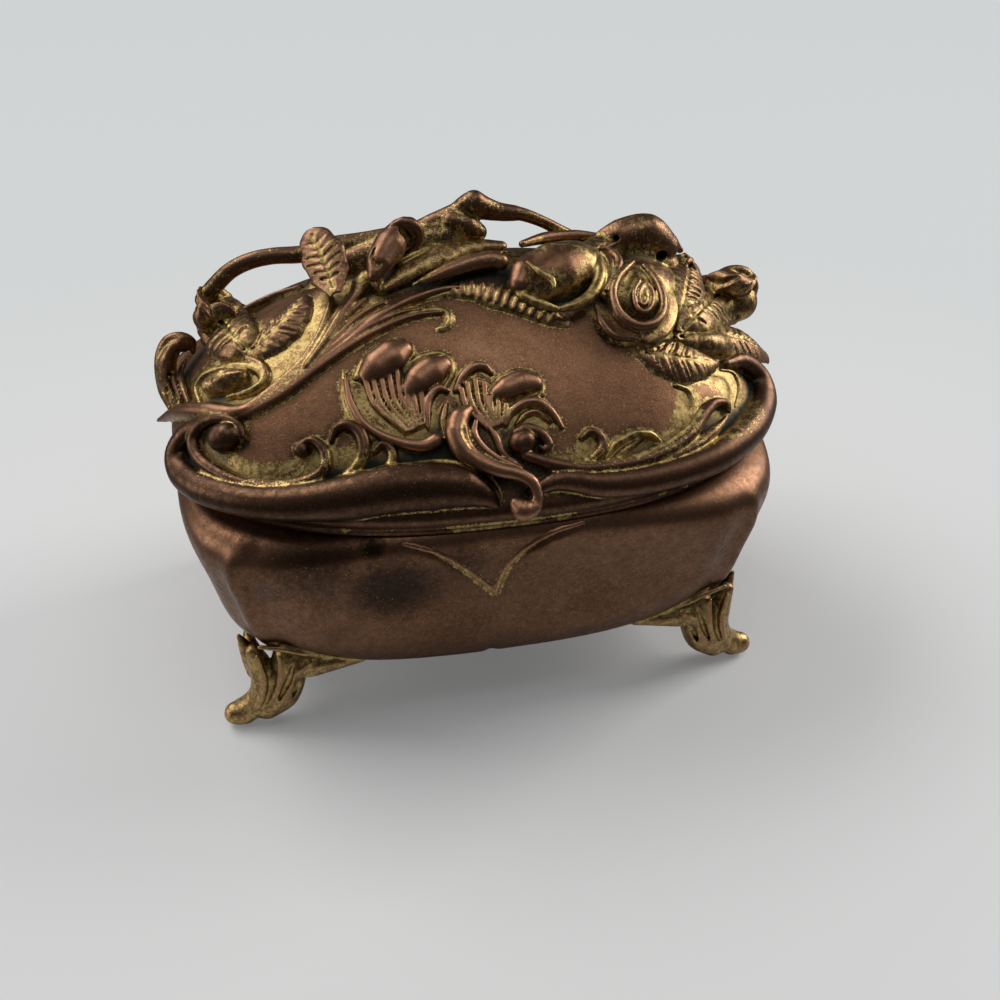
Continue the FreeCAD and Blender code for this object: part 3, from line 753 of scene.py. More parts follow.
def body_rings():
    """The shell from the middle of its underside, up its skin and down inside its mouth to its floor."""
    low, high = (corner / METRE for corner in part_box("body_casting"))
    rings = []
    for z in np.linspace(low.z + 0.05, high.z - 0.02, BODY_RINGS):
        ways = [(math.cos(t), math.sin(t), 0.0) for t in TURNS]
        rings.append(skin_ring(base_world, (0, 0, z), ways))
    underside = []
    for share in UNDERSIDE_SHARES:
        ring = rings[0] * share
        ring[:, 2] = low.z
        underside.append(ring)
    inside = [drawn_in(ring, BODY_WALL) for ring in rings[: INNER_STEP - 1 : -INNER_STEP]]
    bottom = []
    for share in BOTTOM_SHARES:
        ring = inside[-1] * share
        ring[:, 2] = inside[-1][:, 2]
        bottom.append(ring)
    return underside + rings + inside + bottom


# Ornament of the lid: each function draws one piece in strokes over pixels of the photograph


STEM_LOWER = [(173, 410), (207, 413), (234, 416), (254, 411), (287, 392), (314, 371), (350, 346), (380, 329)]
STEM_LOWER += [(412, 316), (440, 312)]
STEM_UPPER = [(173, 406), (207, 409), (234, 410), (254, 402), (280, 382), (303, 360), (319, 335), (328, 312)]
STEM_UPPER += [(330, 301), (328, 292)]
STEM_STRANDS = 7
FAN_BOW = 0.24
CREST_FACE = np.array([0.0, -1.0, 0.0])
BUD_FACE = np.array([0.0, -0.85, 0.5])
UPRIGHT_FACE = np.array([-0.2, -0.9, 0.4])


def stem_bundle(piece):
    spout = [(160, 421), (180, 411), (207, 411), (234, 413), (256, 406), (280, 390)]
    piece.ridge(spout, (0.8, 1.6, 1.9, 1.6, 1.0, 0.5), 0.3, blend=0.4)
    for share in np.linspace(0, 1, STEM_STRANDS):
        strand = (1 - share) * np.array(STEM_LOWER) + share * np.array(STEM_UPPER)
        piece.ridge(strand, (0.5, 0.75, 0.8, 0.85, 0.8, 0.7, 0.4), 0.5, blend=0.15)
    bud_stem = [(306, 366), (324, 342), (342, 313), (358, 292), (370, 279)]
    piece.ridge(bud_stem, (0.6, 0.9, 1.0, 1.2), 1.2, blend=0.3)
    pod_stem = [(340, 350), (371, 322), (404, 303), (440, 290), (470, 287)]
    piece.ridge(pod_stem, (0.4, 0.8, 0.9, 0.5), 0.8, blend=0.3)
    notch = [(161, 424), (174, 433), (190, 426)]
    piece.groove(notch, (0.8, 1.4, 0.5), 0.2)


def end_scroll_left(piece):
    plate = [(187, 346), (175, 344), (168, 354), (167, 372), (171, 392), (178, 406)]
    piece.ridge(plate, (1.6, 2.8, 3.4, 3.4, 2.8, 1.4), 0.6, flat=0.5)
    outer = [(193, 352), (192, 342), (181, 337), (168, 341), (161, 355), (160, 373), (163, 392), (170, 408)]
    piece.ridge(outer, (0.6, 1.0, 1.2, 1.3, 1.3, 1.2, 1.0, 0.6), 1.6, blend=0.4)
    middle = [(180, 350), (173, 362), (174, 380), (180, 399)]
    piece.ridge(middle, (0.4, 0.8, 0.8, 0.4), 2.2, blend=0.3)
    inner = [(186, 360), (181, 372), (183, 388), (188, 402)]
    piece.ridge(inner, (0.4, 0.7, 0.7, 0.4), 1.4, blend=0.3)
    gilt_line = [(174, 348), (167, 360), (167, 378), (173, 398)]
    piece.line_work(gilt_line, 2.2)
    furrow = [(177, 352), (170, 364), (170, 382), (176, 400)]
    piece.groove(furrow, (0.3, 0.5, 0.5, 0.3), 3.0, blend=0.3)


def left_boss(piece):
    boss = [(212, 386), (226, 381), (240, 378)]
    piece.ridge(boss, (2.2, 2.8, 2.0), 0.8)
    highlight = [(216, 381), (228, 376), (240, 373)]
    piece.ridge(highlight, (0.7, 0.9, 0.6), 2.8)
    furrow = [(214, 388), (228, 383), (242, 381)]
    piece.groove(furrow, (0.4, 0.6, 0.4), 3.2)
    ring = [(200, 404), (196, 388), (206, 374), (226, 367), (246, 366), (260, 372), (262, 382)]
    ring += [(250, 390), (228, 397)]
    piece.ridge(ring, (0.4, 0.7, 0.8, 0.8, 0.8, 0.5), 0.5, gilt=True)
    outer = [(246, 357), (260, 364), (266, 376), (258, 388), (240, 396)]
    piece.ridge(outer, (0.5, 0.9, 0.8, 0.4), 0.5)


def leaf_left_outer(piece):
    midrib = [(247, 352), (236, 340), (222, 323), (209, 306), (200, 292)]
    piece.leaf(piece.trace(midrib, (0.6, 1.4, 2.0, 2.4, 2.4)), (1.2, 5.2, 6.4, 5.4, 1.6), veins=7)


def leaf_left_inner(piece):
    midrib = [(248, 352), (266, 341), (283, 325), (297, 308), (304, 296)]
    piece.leaf(piece.trace(midrib, (0.5, 0.9, 1.0, 0.9, 0.6)), (1.0, 3.8, 4.4, 3.4, 1.0), veins=7)
    stalk = [(243, 311), (258, 303), (276, 295), (300, 288)]
    piece.ridge(stalk, 0.8, 0.3)


def standing(pixel, depth):
    """The place behind a pixel in an upright plane across the casket."""
    ray = pixel_ray(pixel)
    return EYE + ray * ((depth - EYE[1]) / ray[1])


def standing_path(pixels, depths):
    """Places behind pixels in one upright plane, or each in its own."""
    depths = spread(depths, len(pixels))
    return np.array([standing(pixel, depth) for pixel, depth in zip(pixels, depths)])


def branch_gallery(piece):
    left = [(204, 300), (214, 287), (230, 271), (250, 261), (273, 256), (303, 254), (333, 246)]
    left += [(366, 242), (400, 236)]
    middle = [(384, 242), (410, 236), (436, 224), (456, 214), (473, 206), (496, 211), (513, 213)]
    right = [(473, 206), (500, 212), (521, 214), (543, 222), (560, 231), (576, 240), (590, 250)]
    for pixels, radii in (
        (left, (2.0, 1.9, 1.8, 1.8, 1.8, 1.9, 2.1, 2.3, 2.4)),
        (middle, (2.2, 2.6, 2.6, 2.4, 3.0, 1.9, 1.6)),
        (right, (2.6, 1.9, 1.5, 1.3, 1.4, 1.6, 1.8)),
    ):
        piece.stroke(standing_path(pixels, GALLERY_Y), radii, "raise", face=CREST_FACE)
    knob = standing_path([(466, 206), (474, 202), (482, 206)], GALLERY_Y - 0.5)
    piece.stroke(knob, (2.2, 2.6, 2.0), "raise", face=CREST_FACE)
    shoulder = standing_path([(452, 222), (466, 226), (478, 232)], GALLERY_Y - 2)
    piece.stroke(shoulder, (2.4, 2.8, 2.0), "raise", face=CREST_FACE)
    crest = standing_path([(322, 290), (352, 272), (392, 258), (430, 246), (462, 236)], CREST_Y)
    piece.stroke(crest, (3.6, 5.0, 5.4, 4.8, 3.0), "raise", flat=0.7, face=CREST_FACE)
    brush(lid_world, standing_path(left + middle[3:] + right[1:], GALLERY_Y), 4.0)
    ring = standing_path([(462, 204), (466, 212), (476, 216), (486, 212)], GALLERY_Y - 2.6)
    piece.stroke(ring, (0.4, 0.5, 0.4), "carve", blend=0.3, face=CREST_FACE)


def leaf_upright(piece):
    pixels = [(335, 291), (329, 272), (322, 254), (315, 240), (311, 231)]
    midrib = standing_path(pixels, (-12.0, -7.0, -3.0, 0.0, 1.5))
    face = UPRIGHT_FACE / np.linalg.norm(UPRIGHT_FACE)
    piece.leaf(midrib, (1.8, 4.4, 5.0, 3.8, 1.2), veins=6, face=face)


def tall_bud(piece):
    pixels = [(374, 276), (380, 262), (390, 246), (402, 233), (409, 227)]
    bud = standing_path(pixels, (-11.0, -8.0, -4.5, -1.5, 0.0))
    piece.stroke(bud, (1.4, 2.9, 3.5, 3.2, 2.2), "raise", face=BUD_FACE)
    collar = standing_path([(392, 226), (404, 222), (416, 227), (419, 237), (414, 250), (404, 264)], -3.2)
    piece.stroke(collar, (0.7, 1.2, 1.3, 1.2, 1.0, 0.5), "raise", blend=0.4, face=BUD_FACE)
    hollow = standing_path([(402, 232), (408, 240), (400, 258)], -4.6)
    piece.stroke(hollow, (0.8, 1.2, 0.7), "carve", blend=0.4, face=BUD_FACE)
    for shift in (-8, -4, 0, 4):
        flute = [(374 + shift, 270), (381 + shift, 254), (392 + shift, 238)]
        groove = standing_path(flute, (-12.0, -8.4, -5.4))
        piece.stroke(groove, (0.3, 0.4, 0.3), "carve", blend=0.25, face=BUD_FACE)
    calyx = [(352, 296), (360, 286), (370, 279), (380, 287)]
    piece.ridge(calyx, (0.8, 1.9, 2.2, 1.6), 0.8)


def pod_leaf(piece):
    pod = [(384, 288), (410, 272), (440, 258), (470, 248), (500, 246)]
    piece.ridge(pod, (1.2, 2.6, 3.2, 2.8, 1.6), 1.4, flat=0.7)
    lower_fold = [(424, 281), (446, 272), (470, 264), (492, 260), (500, 262)]
    piece.ridge(lower_fold, (0.8, 1.6, 2.0, 2.1, 1.9), 2.4)
    gilt_line = [(413, 285), (438, 270), (460, 259), (480, 254), (506, 252)]
    piece.line_work(gilt_line, 3.0)
    upper_fold = [(398, 262), (420, 252), (446, 242), (474, 237)]
    piece.ridge(upper_fold, (0.6, 1.0, 1.0, 0.5), 3.0)
    hollow = [(446, 282), (470, 276), (500, 274)]
    piece.groove(hollow, (0.8, 1.2, 0.8), 0.6)


def scalloped_leaf(piece):
    middle = [(440, 293), (466, 290), (490, 294), (512, 301), (534, 309), (552, 317), (566, 322)]
    line, radii, outs = piece.ridge(middle, (0.8, 1.9, 2.4, 2.6, 2.4, 1.8, 0.7), 0.2, flat=0.5)
    along = np.gradient(line, axis=0)
    for at in range(3, len(line) - 2, 2):
        across = np.cross(along[at], outs[at])
        across = across / np.linalg.norm(across)
        top = line[at] + outs[at] * radii[at] * 0.45
        rib = [top - across * radii[at] * 0.8, top, top + across * radii[at] * 0.9 - outs[at] * 0.4]
        piece.stroke(rib, (0.4, 0.65, 0.6), "raise", blend=0.3)
    edge = [(428, 298), (448, 293), (470, 295), (492, 305), (518, 310), (540, 319), (566, 325)]
    piece.line_work(edge, 0.2)


def rose_bloom(piece):
    heart = [(628, 300), (640, 294), (652, 292)]
    piece.ridge(heart, (8.5, 9.0, 8.0), -2.2, flat=0.8)
    back_petal = [(584, 262), (606, 256), (632, 256), (660, 268)]
    piece.ridge(back_petal, (4.0, 5.4, 5.6, 4.6), 0.4)
    crest_petal = [(598, 248), (622, 238), (646, 234), (664, 246)]
    piece.ridge(crest_petal, (3.0, 4.4, 4.6, 3.4), 0.6)
    rolled_petal = [(596, 238), (610, 230), (626, 224), (642, 221), (656, 224), (668, 236), (680, 250)]
    piece.ridge(rolled_petal, (0.9, 1.3, 1.5, 1.5, 1.4, 1.2, 0.8), 4.0)
    crest_hollow = [(610, 241), (627, 234), (642, 231)]
    piece.groove(crest_hollow, (0.5, 1.0, 0.6), 5.6)
    end_hollow = [(656, 236), (662, 247), (660, 258)]
    piece.groove(end_hollow, (0.8, 1.7, 0.9), 5.0)
    crest_edge = [(606, 247), (622, 241), (638, 237), (646, 242), (648, 252)]
    piece.ridge(crest_edge, (0.5, 1.0, 1.2, 1.0, 0.5), 5.0, blend=0.4)
    cup_hollow = [(634, 271), (625, 285), (623, 301), (630, 315), (642, 320)]
    piece.groove(cup_hollow, (0.8, 1.9, 2.2, 1.5, 0.8), 5.0)
    right_hollow = [(656, 290), (658, 304), (651, 316)]
    piece.groove(right_hollow, (0.5, 0.9, 0.5), 5.6)
    lower_hollow = [(603, 304), (607, 318), (617, 328), (632, 334)]
    piece.groove(lower_hollow, (0.7, 1.6, 1.6, 0.6), 3.6)
    cup = [(633, 262), (619, 276), (613, 292), (617, 309), (628, 321), (641, 326), (655, 322)]
    cup += [(663, 310), (662, 293), (655, 278), (644, 266)]
    piece.ridge(cup, (0.6, 0.9, 1.0, 1.0, 1.0, 1.0, 0.9, 0.7), 5.2, blend=0.3)
    bud = [(641, 286), (642, 296), (643, 306)]
    piece.ridge(bud, (1.7, 2.4, 1.9), 4.0)
    spiral = [(640, 280), (634, 291), (636, 305), (643, 312), (651, 306), (652, 292), (646, 284)]
    spiral += [(640, 289), (639, 300), (643, 305), (647, 299), (645, 293)]
    piece.ridge(spiral, (0.4, 0.6, 0.6, 0.5, 0.4), 6.0, blend=0.2)
    inner_fold = [(612, 303), (615, 314), (626, 325), (638, 332)]
    piece.ridge(inner_fold, (0.5, 0.9, 0.9, 0.5), 4.2, blend=0.3)
    outer_fold = [(595, 305), (602, 322), (615, 336), (634, 339), (646, 342)]
    piece.ridge(outer_fold, (0.5, 0.9, 0.9, 0.7, 0.4), 1.8, blend=0.3)
    flat_petal = [(648, 262), (658, 277), (667, 300), (667, 318), (660, 331), (646, 338)]
    piece.ridge(flat_petal, (0.8, 1.5, 1.9, 2.1, 2.0, 1.2), 3.0, flat=0.5)
    flat_edge = [(654, 260), (664, 276), (673, 296), (676, 314), (668, 332), (648, 342)]
    piece.line_work(flat_edge, 3.2)
    left_curl = [(600, 248), (611, 252), (619, 262), (614, 276), (606, 290)]
    piece.ridge(left_curl, (0.6, 1.0, 1.0, 0.8, 0.5), 4.4, blend=0.3)
    outer_curl = [(588, 250), (604, 262), (606, 276), (600, 292)]
    piece.ridge(outer_curl, (0.5, 0.9, 0.9, 0.5), 3.4, blend=0.3)


def egg_bud(piece):
    egg = [(540, 280), (556, 273), (572, 268)]
    piece.ridge(egg, (6.2, 7.2, 6.6), 0.6, flat=0.85)
    nose = [(520, 284), (524, 274), (532, 264)]
    piece.ridge(nose, (2.6, 3.2, 2.6), 2.2)
    cup = [(556, 246), (578, 247), (594, 256), (600, 273), (594, 292), (578, 304), (560, 309)]
    piece.ridge(cup, (0.8, 1.3, 1.5, 1.5, 1.5, 1.2, 0.7), 3.6, blend=0.4, gilt=True)
    outer_cup = [(596, 248), (608, 262), (610, 278), (604, 296)]
    piece.ridge(outer_cup, (0.8, 1.3, 1.3, 0.8), 3.4, blend=0.4)
    lower_sepal = [(510, 284), (524, 297), (540, 304), (556, 309)]
    piece.ridge(lower_sepal, (0.8, 1.3, 1.3, 0.7), 1.8, blend=0.4, gilt=True)
    upper_sepal = [(522, 244), (546, 238), (576, 236), (602, 238)]
    piece.ridge(upper_sepal, (0.8, 1.4, 1.4, 1.0), 3.2, blend=0.4)
    seam = [(527, 262), (540, 272), (552, 280), (554, 288)]
    piece.ridge(seam, (0.4, 0.9, 0.8, 0.4), 6.6, blend=0.3, gilt=True)


def leaf_right_upper(piece):
    midrib = [(682, 317), (682, 301), (685, 283), (687, 268), (688, 258)]
    piece.leaf(piece.trace(midrib, (1.2, 2.2, 3.2, 4.0, 4.2)), (1.4, 5.0, 6.2, 5.0, 1.4), veins=7)
    support = [(676, 300), (690, 298), (702, 302)]
    piece.ridge(support, (4.0, 4.6, 4.0), -1.0)


def leaf_right_back(piece):
    support = [(700, 318), (718, 308), (738, 302)]
    piece.ridge(support, (3.6, 5.0, 4.6), -0.6)
    midrib = [(680, 331), (698, 313), (716, 298), (733, 287), (747, 278)]
    piece.leaf(piece.trace(midrib, (0.8, 2.0, 3.0, 3.4, 3.4)), (1.4, 5.6, 7.6, 7.2, 3.4), veins=9)
    curled_edge = [(712, 277), (728, 270), (744, 273), (752, 287), (748, 304)]
    piece.ridge(curled_edge, (0.5, 1.0, 1.6, 1.6, 0.8), 4.2, blend=0.4)


def leaf_right_outer(piece):
    root = piece.trace([(677, 337)], 0.8)
    overhang = [(49.7, -19.0, 81.7), (56.6, -16.0, 79.2), (64.6, -12.0, 75.2), (71.4, -8.4, 69.8)]
    piece.leaf(np.vstack([root, overhang]), (1.0, 3.8, 4.8, 4.8, 2.2), veins=9)
    support = [(690, 344), (716, 346), (742, 352)]
    piece.ridge(support, (2.4, 3.2, 2.6), -0.4)


def leaf_right_lower(piece):
    midrib = [(641, 351), (660, 356), (680, 360), (700, 362), (716, 363)]
    piece.leaf(piece.trace(midrib, (0.4, 0.7, 0.8, 0.8, 0.6)), (1.0, 4.2, 5.0, 3.6, 1.0), veins=9)


def shell_fan(piece, roots, ribs, lobes, rims):
    """A fan: fine ribs that run down to its root with beads between, plump lobes, and rolled rims."""
    first_root, last_root = np.array(roots, float)
    paths = []
    for share, start in zip(np.linspace(0, 1, len(ribs)), np.array(ribs, float)):
        root = first_root + (last_root - first_root) * share
        bow = (start + root) / 2 - np.array([FAN_BOW * (root[0] - start[0]), 0.0])
        paths.append([start, bow, root])
    for rib in paths:
        piece.ridge(rib, (0.62, 0.58, 0.3), 0.9, blend=0.15)
    for first, second in zip(paths, paths[1:]):
        valley = [(a + b) / 2 for a, b in zip(first, second)]
        line, radii, outs = piece.ridge(valley, 0.2, 0.1, blend=0.15)
        for at in range(len(line) - 1):
            bead = line[at] + outs[at] * 0.35
            piece.stroke([bead, bead + outs[at] * 0.1], 0.3, "raise", blend=0.1, gilt=True)
    for pixels, radii, lift in lobes:
        piece.ridge(pixels, radii, lift, flat=0.75, blend=0.3)
    for pixels, radii, lift in rims:
        piece.ridge(pixels, radii, lift, blend=0.3)


def shell_fan_left(piece):
    roots = [(406, 433), (426, 424)]
    ribs = [(365, 379), (373, 379), (381, 376), (389, 374), (397, 373), (406, 386), (413, 388), (421, 388)]
    upper_lobe = [(368, 374), (379, 365), (391, 357), (402, 350)]
    lower_lobe = [(411, 388), (420, 379), (431, 371), (442, 365)]
    lobes = [(upper_lobe, (2.0, 3.4, 3.6, 2.2), 0.6), (lower_lobe, (1.9, 3.1, 3.2, 2.0), 0.6)]
    rolled_edge = [(346, 379), (350, 400), (361, 420), (379, 434), (402, 443), (424, 446), (436, 441)]
    curl = [(449, 391), (438, 388), (429, 398), (427, 414), (429, 428)]
    side_rim = [(446, 404), (443, 420), (446, 438)]
    rims = [
        (rolled_edge, (0.5, 0.7, 0.8, 0.9, 1.1, 1.4, 1.6), 0.9),
        (curl, (0.4, 0.8, 0.9, 0.8, 0.4), 0.9),
        (side_rim, (0.4, 0.7, 0.4), 0.6),
    ]
    shell_fan(piece, roots, ribs, lobes, rims)
    upper_line = [(356, 378), (362, 362), (376, 349), (393, 342), (405, 343), (410, 352)]
    piece.line_work(upper_line, 0.2)
    lower_line = [(404, 372), (412, 362), (426, 355), (442, 354), (451, 362), (451, 376), (445, 386)]
    piece.line_work(lower_line, 0.2)
    outer_line = [(344, 372), (343, 384), (345, 402), (355, 422), (372, 439)]
    piece.line_work(outer_line, 0.3)


def shell_fan_right(piece):
    roots = [(488, 430), (502, 424)]
    ribs = [(461, 389), (467, 383), (475, 380), (484, 383), (490, 397), (498, 402), (506, 405)]
    lobe = [(497, 393), (508, 388), (521, 383), (534, 383)]
    upper_rim = [(455, 391), (462, 377), (473, 367), (484, 366), (492, 373)]
    curl = [(506, 425), (511, 412), (524, 403), (538, 402), (552, 412), (563, 428)]
    inner_curl = [(517, 424), (526, 414), (538, 412), (550, 422)]
    rims = [
        (upper_rim, (0.4, 0.8, 1.0, 0.9, 0.4), 0.7),
        (curl, (0.4, 0.8, 1.0, 1.0, 0.8, 0.4), 0.8),
        (inner_curl, (0.3, 0.6, 0.6, 0.3), 0.5),
    ]
    shell_fan(piece, roots, ribs, [(lobe, (1.5, 2.5, 2.7, 1.8), 0.5)], rims)
    lobe_line = [(490, 392), (498, 381), (512, 373), (526, 372), (540, 380), (541, 394), (532, 399)]
    piece.line_work(lobe_line, 0.2)


def shell_drop(piece):
    leaf = [(468, 410), (459, 419), (457, 432), (462, 447), (474, 459), (496, 469), (518, 474)]
    leaf += [(533, 483), (538, 497)]
    lifts = (0.8, 1.2, 1.4, 1.6, 2.0, 2.6, 3.0, 3.2, 3.0)
    piece.ridge(leaf, (1.2, 2.2, 2.6, 2.4, 2.0, 1.6, 1.4, 1.3, 1.0), lifts)
    curled_tip = [(538, 496), (534, 507), (523, 510), (516, 504)]
    piece.ridge(curled_tip, (1.0, 1.6, 2.4, 1.4), 2.6)
    middle_fold = [(476, 421), (474, 434), (484, 449), (502, 461), (522, 469)]
    piece.ridge(middle_fold, (0.5, 0.9, 0.9, 0.8, 0.4), 1.6, blend=0.3)
    right_fold = [(488, 426), (496, 437), (503, 453), (522, 467)]
    piece.ridge(right_fold, (0.4, 0.8, 0.8, 0.4), 1.0, blend=0.3)
    gilt_line = [(446, 463), (478, 469), (496, 483), (502, 497)]
    piece.line_work(gilt_line, 1.0)
    furrow = [(466, 416), (464, 432), (472, 448)]
    piece.groove(furrow, (0.3, 0.5, 0.3), 3.8, blend=0.3, gilt=True)


def rim_scroll_left(piece):
    roll = [(202, 423), (185, 436), (178, 455), (184, 474), (203, 488), (234, 498), (266, 503)]
    roll += [(310, 502), (350, 497), (392, 489), (430, 486), (462, 487), (486, 496), (496, 505)]
    radii = (1.5, 2.2, 2.8, 3.2, 3.4, 3.4, 3.5, 4.0, 4.6, 5.0, 5.0, 4.2, 2.2, 0.8)
    piece.ridge(roll, radii, (0.8, 1.0, 1.2, 1.4, 1.4, 1.2, 1.0, 0.8, 0.6, 0.4, 0.4, 0.4, 0.6, 0.6))
    eye = [(222, 438), (227, 437)]
    piece.ridge(eye, 3.0, 1.2)
    band = [(243, 437), (238, 424), (222, 418), (204, 423), (194, 437), (196, 452), (208, 466)]
    band += [(234, 480), (262, 486), (290, 485), (314, 478), (326, 464), (323, 449), (312, 440), (302, 443)]
    radii = (0.5, 0.9, 1.2, 1.4, 1.5, 1.5, 1.4, 1.3, 1.2, 1.2, 1.2, 1.2, 1.1, 0.9, 0.6)
    piece.ridge(band, radii, 1.0, blend=0.4)
    small_eye = [(300, 449), (303, 451)]
    piece.ridge(small_eye, 1.4, 0.5)
    large_curl = [(331, 441), (336, 429), (348, 425), (360, 433), (364, 450), (354, 470), (328, 485)]
    piece.ridge(large_curl, (0.5, 0.9, 1.2, 1.4, 1.4, 1.2, 0.6), 0.8, blend=0.4)
    small_curl = [(374, 452), (382, 444), (391, 449), (392, 461), (382, 472), (356, 483)]
    piece.ridge(small_curl, (0.5, 0.8, 1.0, 1.0, 0.9, 0.4), 0.7, blend=0.4)
    right_line = [(320, 490), (370, 478), (416, 464), (446, 461), (468, 467), (486, 483)]
    piece.line_work(right_line, 1.6)
    left_line = [(196, 452), (206, 474), (232, 488), (262, 493), (296, 492)]
    piece.line_work(left_line, 1.4)
    left_ground = [(236, 458), (256, 470), (280, 468), (296, 462)]
    piece.gild(left_ground, (0.8, 1.4, 1.2, 0.8))
    right_ground = [(316, 462), (340, 458), (372, 468), (398, 458)]
    piece.gild(right_ground, (1.2, 2.2, 2.0, 1.4))
    eye_hollow = [(214, 446), (208, 436), (214, 428)]
    piece.groove(eye_hollow, (0.5, 0.9, 0.5), 0.6)


def rim_scroll_right(piece):
    roll = [(532, 492), (561, 480), (603, 484), (645, 480), (687, 469), (721, 453), (749, 429), (761, 402)]
    roll += [(757, 378), (742, 362), (726, 364)]
    radii = (1.0, 2.2, 2.8, 3.0, 3.2, 3.6, 3.8, 3.6, 3.0, 2.2, 1.2)
    piece.ridge(roll, radii, (0.4, 0.6, 0.8, 0.9, 1.0, 1.2, 1.4, 1.4, 1.4, 1.2, 0.8))
    tongue = [(526, 456), (552, 464), (580, 469), (604, 468), (634, 463), (664, 452), (690, 434), (704, 414)]
    tongue += [(715, 403), (727, 404), (729, 412)]
    piece.ridge(tongue, (1.2, 1.4, 1.5, 1.6, 1.6, 1.7, 1.6, 1.4, 1.2, 0.9, 0.5), 1.0, blend=0.4)
    second_tongue = [(726, 418), (713, 432), (694, 447), (670, 459), (640, 466)]
    piece.ridge(second_tongue, (0.6, 1.2, 1.3, 1.0, 0.5), 1.3, blend=0.4)
    eye = [(520, 443), (524, 441)]
    piece.ridge(eye, 2.5, 0.9)
    eye_curl = [(514, 432), (528, 428), (541, 434), (549, 444), (545, 450), (540, 446)]
    piece.ridge(eye_curl, (0.5, 1.1, 1.2, 1.0, 0.8, 0.5), 1.1, blend=0.4)
    tongue_line = [(572, 463), (596, 464), (628, 458), (660, 446), (686, 428), (700, 410)]
    piece.line_work(tongue_line, 1.6)
    panel_line = [(676, 385), (689, 391), (694, 407), (689, 423), (672, 438), (652, 449)]
    piece.line_work(panel_line, 0.3)
    top_line = [(720, 370), (733, 373), (739, 387), (735, 407)]
    piece.line_work(top_line, 1.6)
    panel_ground = [(682, 398), (684, 410), (676, 424)]
    piece.gild(panel_ground, (1.4, 2.0, 1.4))
    top_ground = [(722, 378), (731, 386), (728, 396)]
    piece.gild(top_ground, (1.2, 2.0, 1.2))
    curl = [(572, 462), (590, 459), (602, 448), (601, 437), (591, 431), (582, 438)]
    piece.ridge(curl, (0.4, 0.8, 1.0, 1.0, 0.8, 0.5), 0.6, blend=0.4)
    curl_ground = [(584, 446), (590, 440)]
    piece.gild(curl_ground, (1.4, 1.2))
    gilt_frond = [(606, 458), (616, 444), (634, 434), (650, 434), (660, 441)]
    piece.ridge(gilt_frond, (0.4, 0.8, 0.9, 0.8, 0.4), 0.6, blend=0.4, gilt=True)
    frond = [(612, 460), (628, 448), (642, 438)]
    piece.ridge(frond, (0.4, 0.8, 0.4), 0.5, blend=0.4)


def panel_tendril(piece):
    tendril = [(380, 328), (405, 315), (430, 310), (446, 312), (450, 319), (446, 327), (440, 329)]
    piece.line_work(tendril, 0.1, (0.3, 0.5, 0.7, 0.6))


# Broad brushes of gilt over the ground of the ornament: pixels and radii in millimetres
GILT_WASHES = [
    (
        [(178, 404), (196, 376), (230, 384), (262, 366), (246, 338), (212, 318), (230, 300)],
        (4, 6, 7, 8, 7, 6, 5),
    ),
    ([(226, 402), (270, 384), (306, 350), (326, 312), (340, 286)], (4, 5, 6, 7, 7)),
    ([(340, 292), (384, 276), (430, 266), (480, 256), (530, 256), (580, 268)], (7, 7, 7, 7, 8, 8)),
    ([(540, 290), (590, 290), (640, 300), (668, 320)], (6, 8, 10, 10)),
    ([(640, 346), (680, 344), (712, 322), (742, 308)], (5, 9, 10, 10)),
    ([(690, 366), (722, 372), (742, 396), (730, 426), (690, 446)], (5, 7, 7, 6, 4)),
    ([(694, 396), (690, 424), (660, 448), (612, 456), (570, 456)], (5, 5, 4.5, 4.5, 4)),
    ([(360, 396), (388, 408), (420, 424), (444, 420)], (4, 5, 5, 4)),
    ([(466, 388), (496, 408), (540, 416)], (4, 5, 4)),
    ([(206, 446), (236, 474), (280, 480), (330, 464), (384, 462), (440, 462)], (3.4, 3.4, 3.6, 5, 5, 4)),
]
WASH_LIFT = 1.0

LID_ORNAMENTS = [stem_bundle, end_scroll_left, left_boss, leaf_left_outer, leaf_left_inner, branch_gallery]
LID_ORNAMENTS += [leaf_upright, tall_bud, pod_leaf, scalloped_leaf, rose_bloom, egg_bud, leaf_right_upper]
LID_ORNAMENTS += [leaf_right_back, leaf_right_outer, leaf_right_lower, shell_fan_left, shell_fan_right]
LID_ORNAMENTS += [shell_drop, rim_scroll_left, rim_scroll_right, panel_tendril]


# Ornament of the body: feet, as points in millimetres at one corner, and the bracket


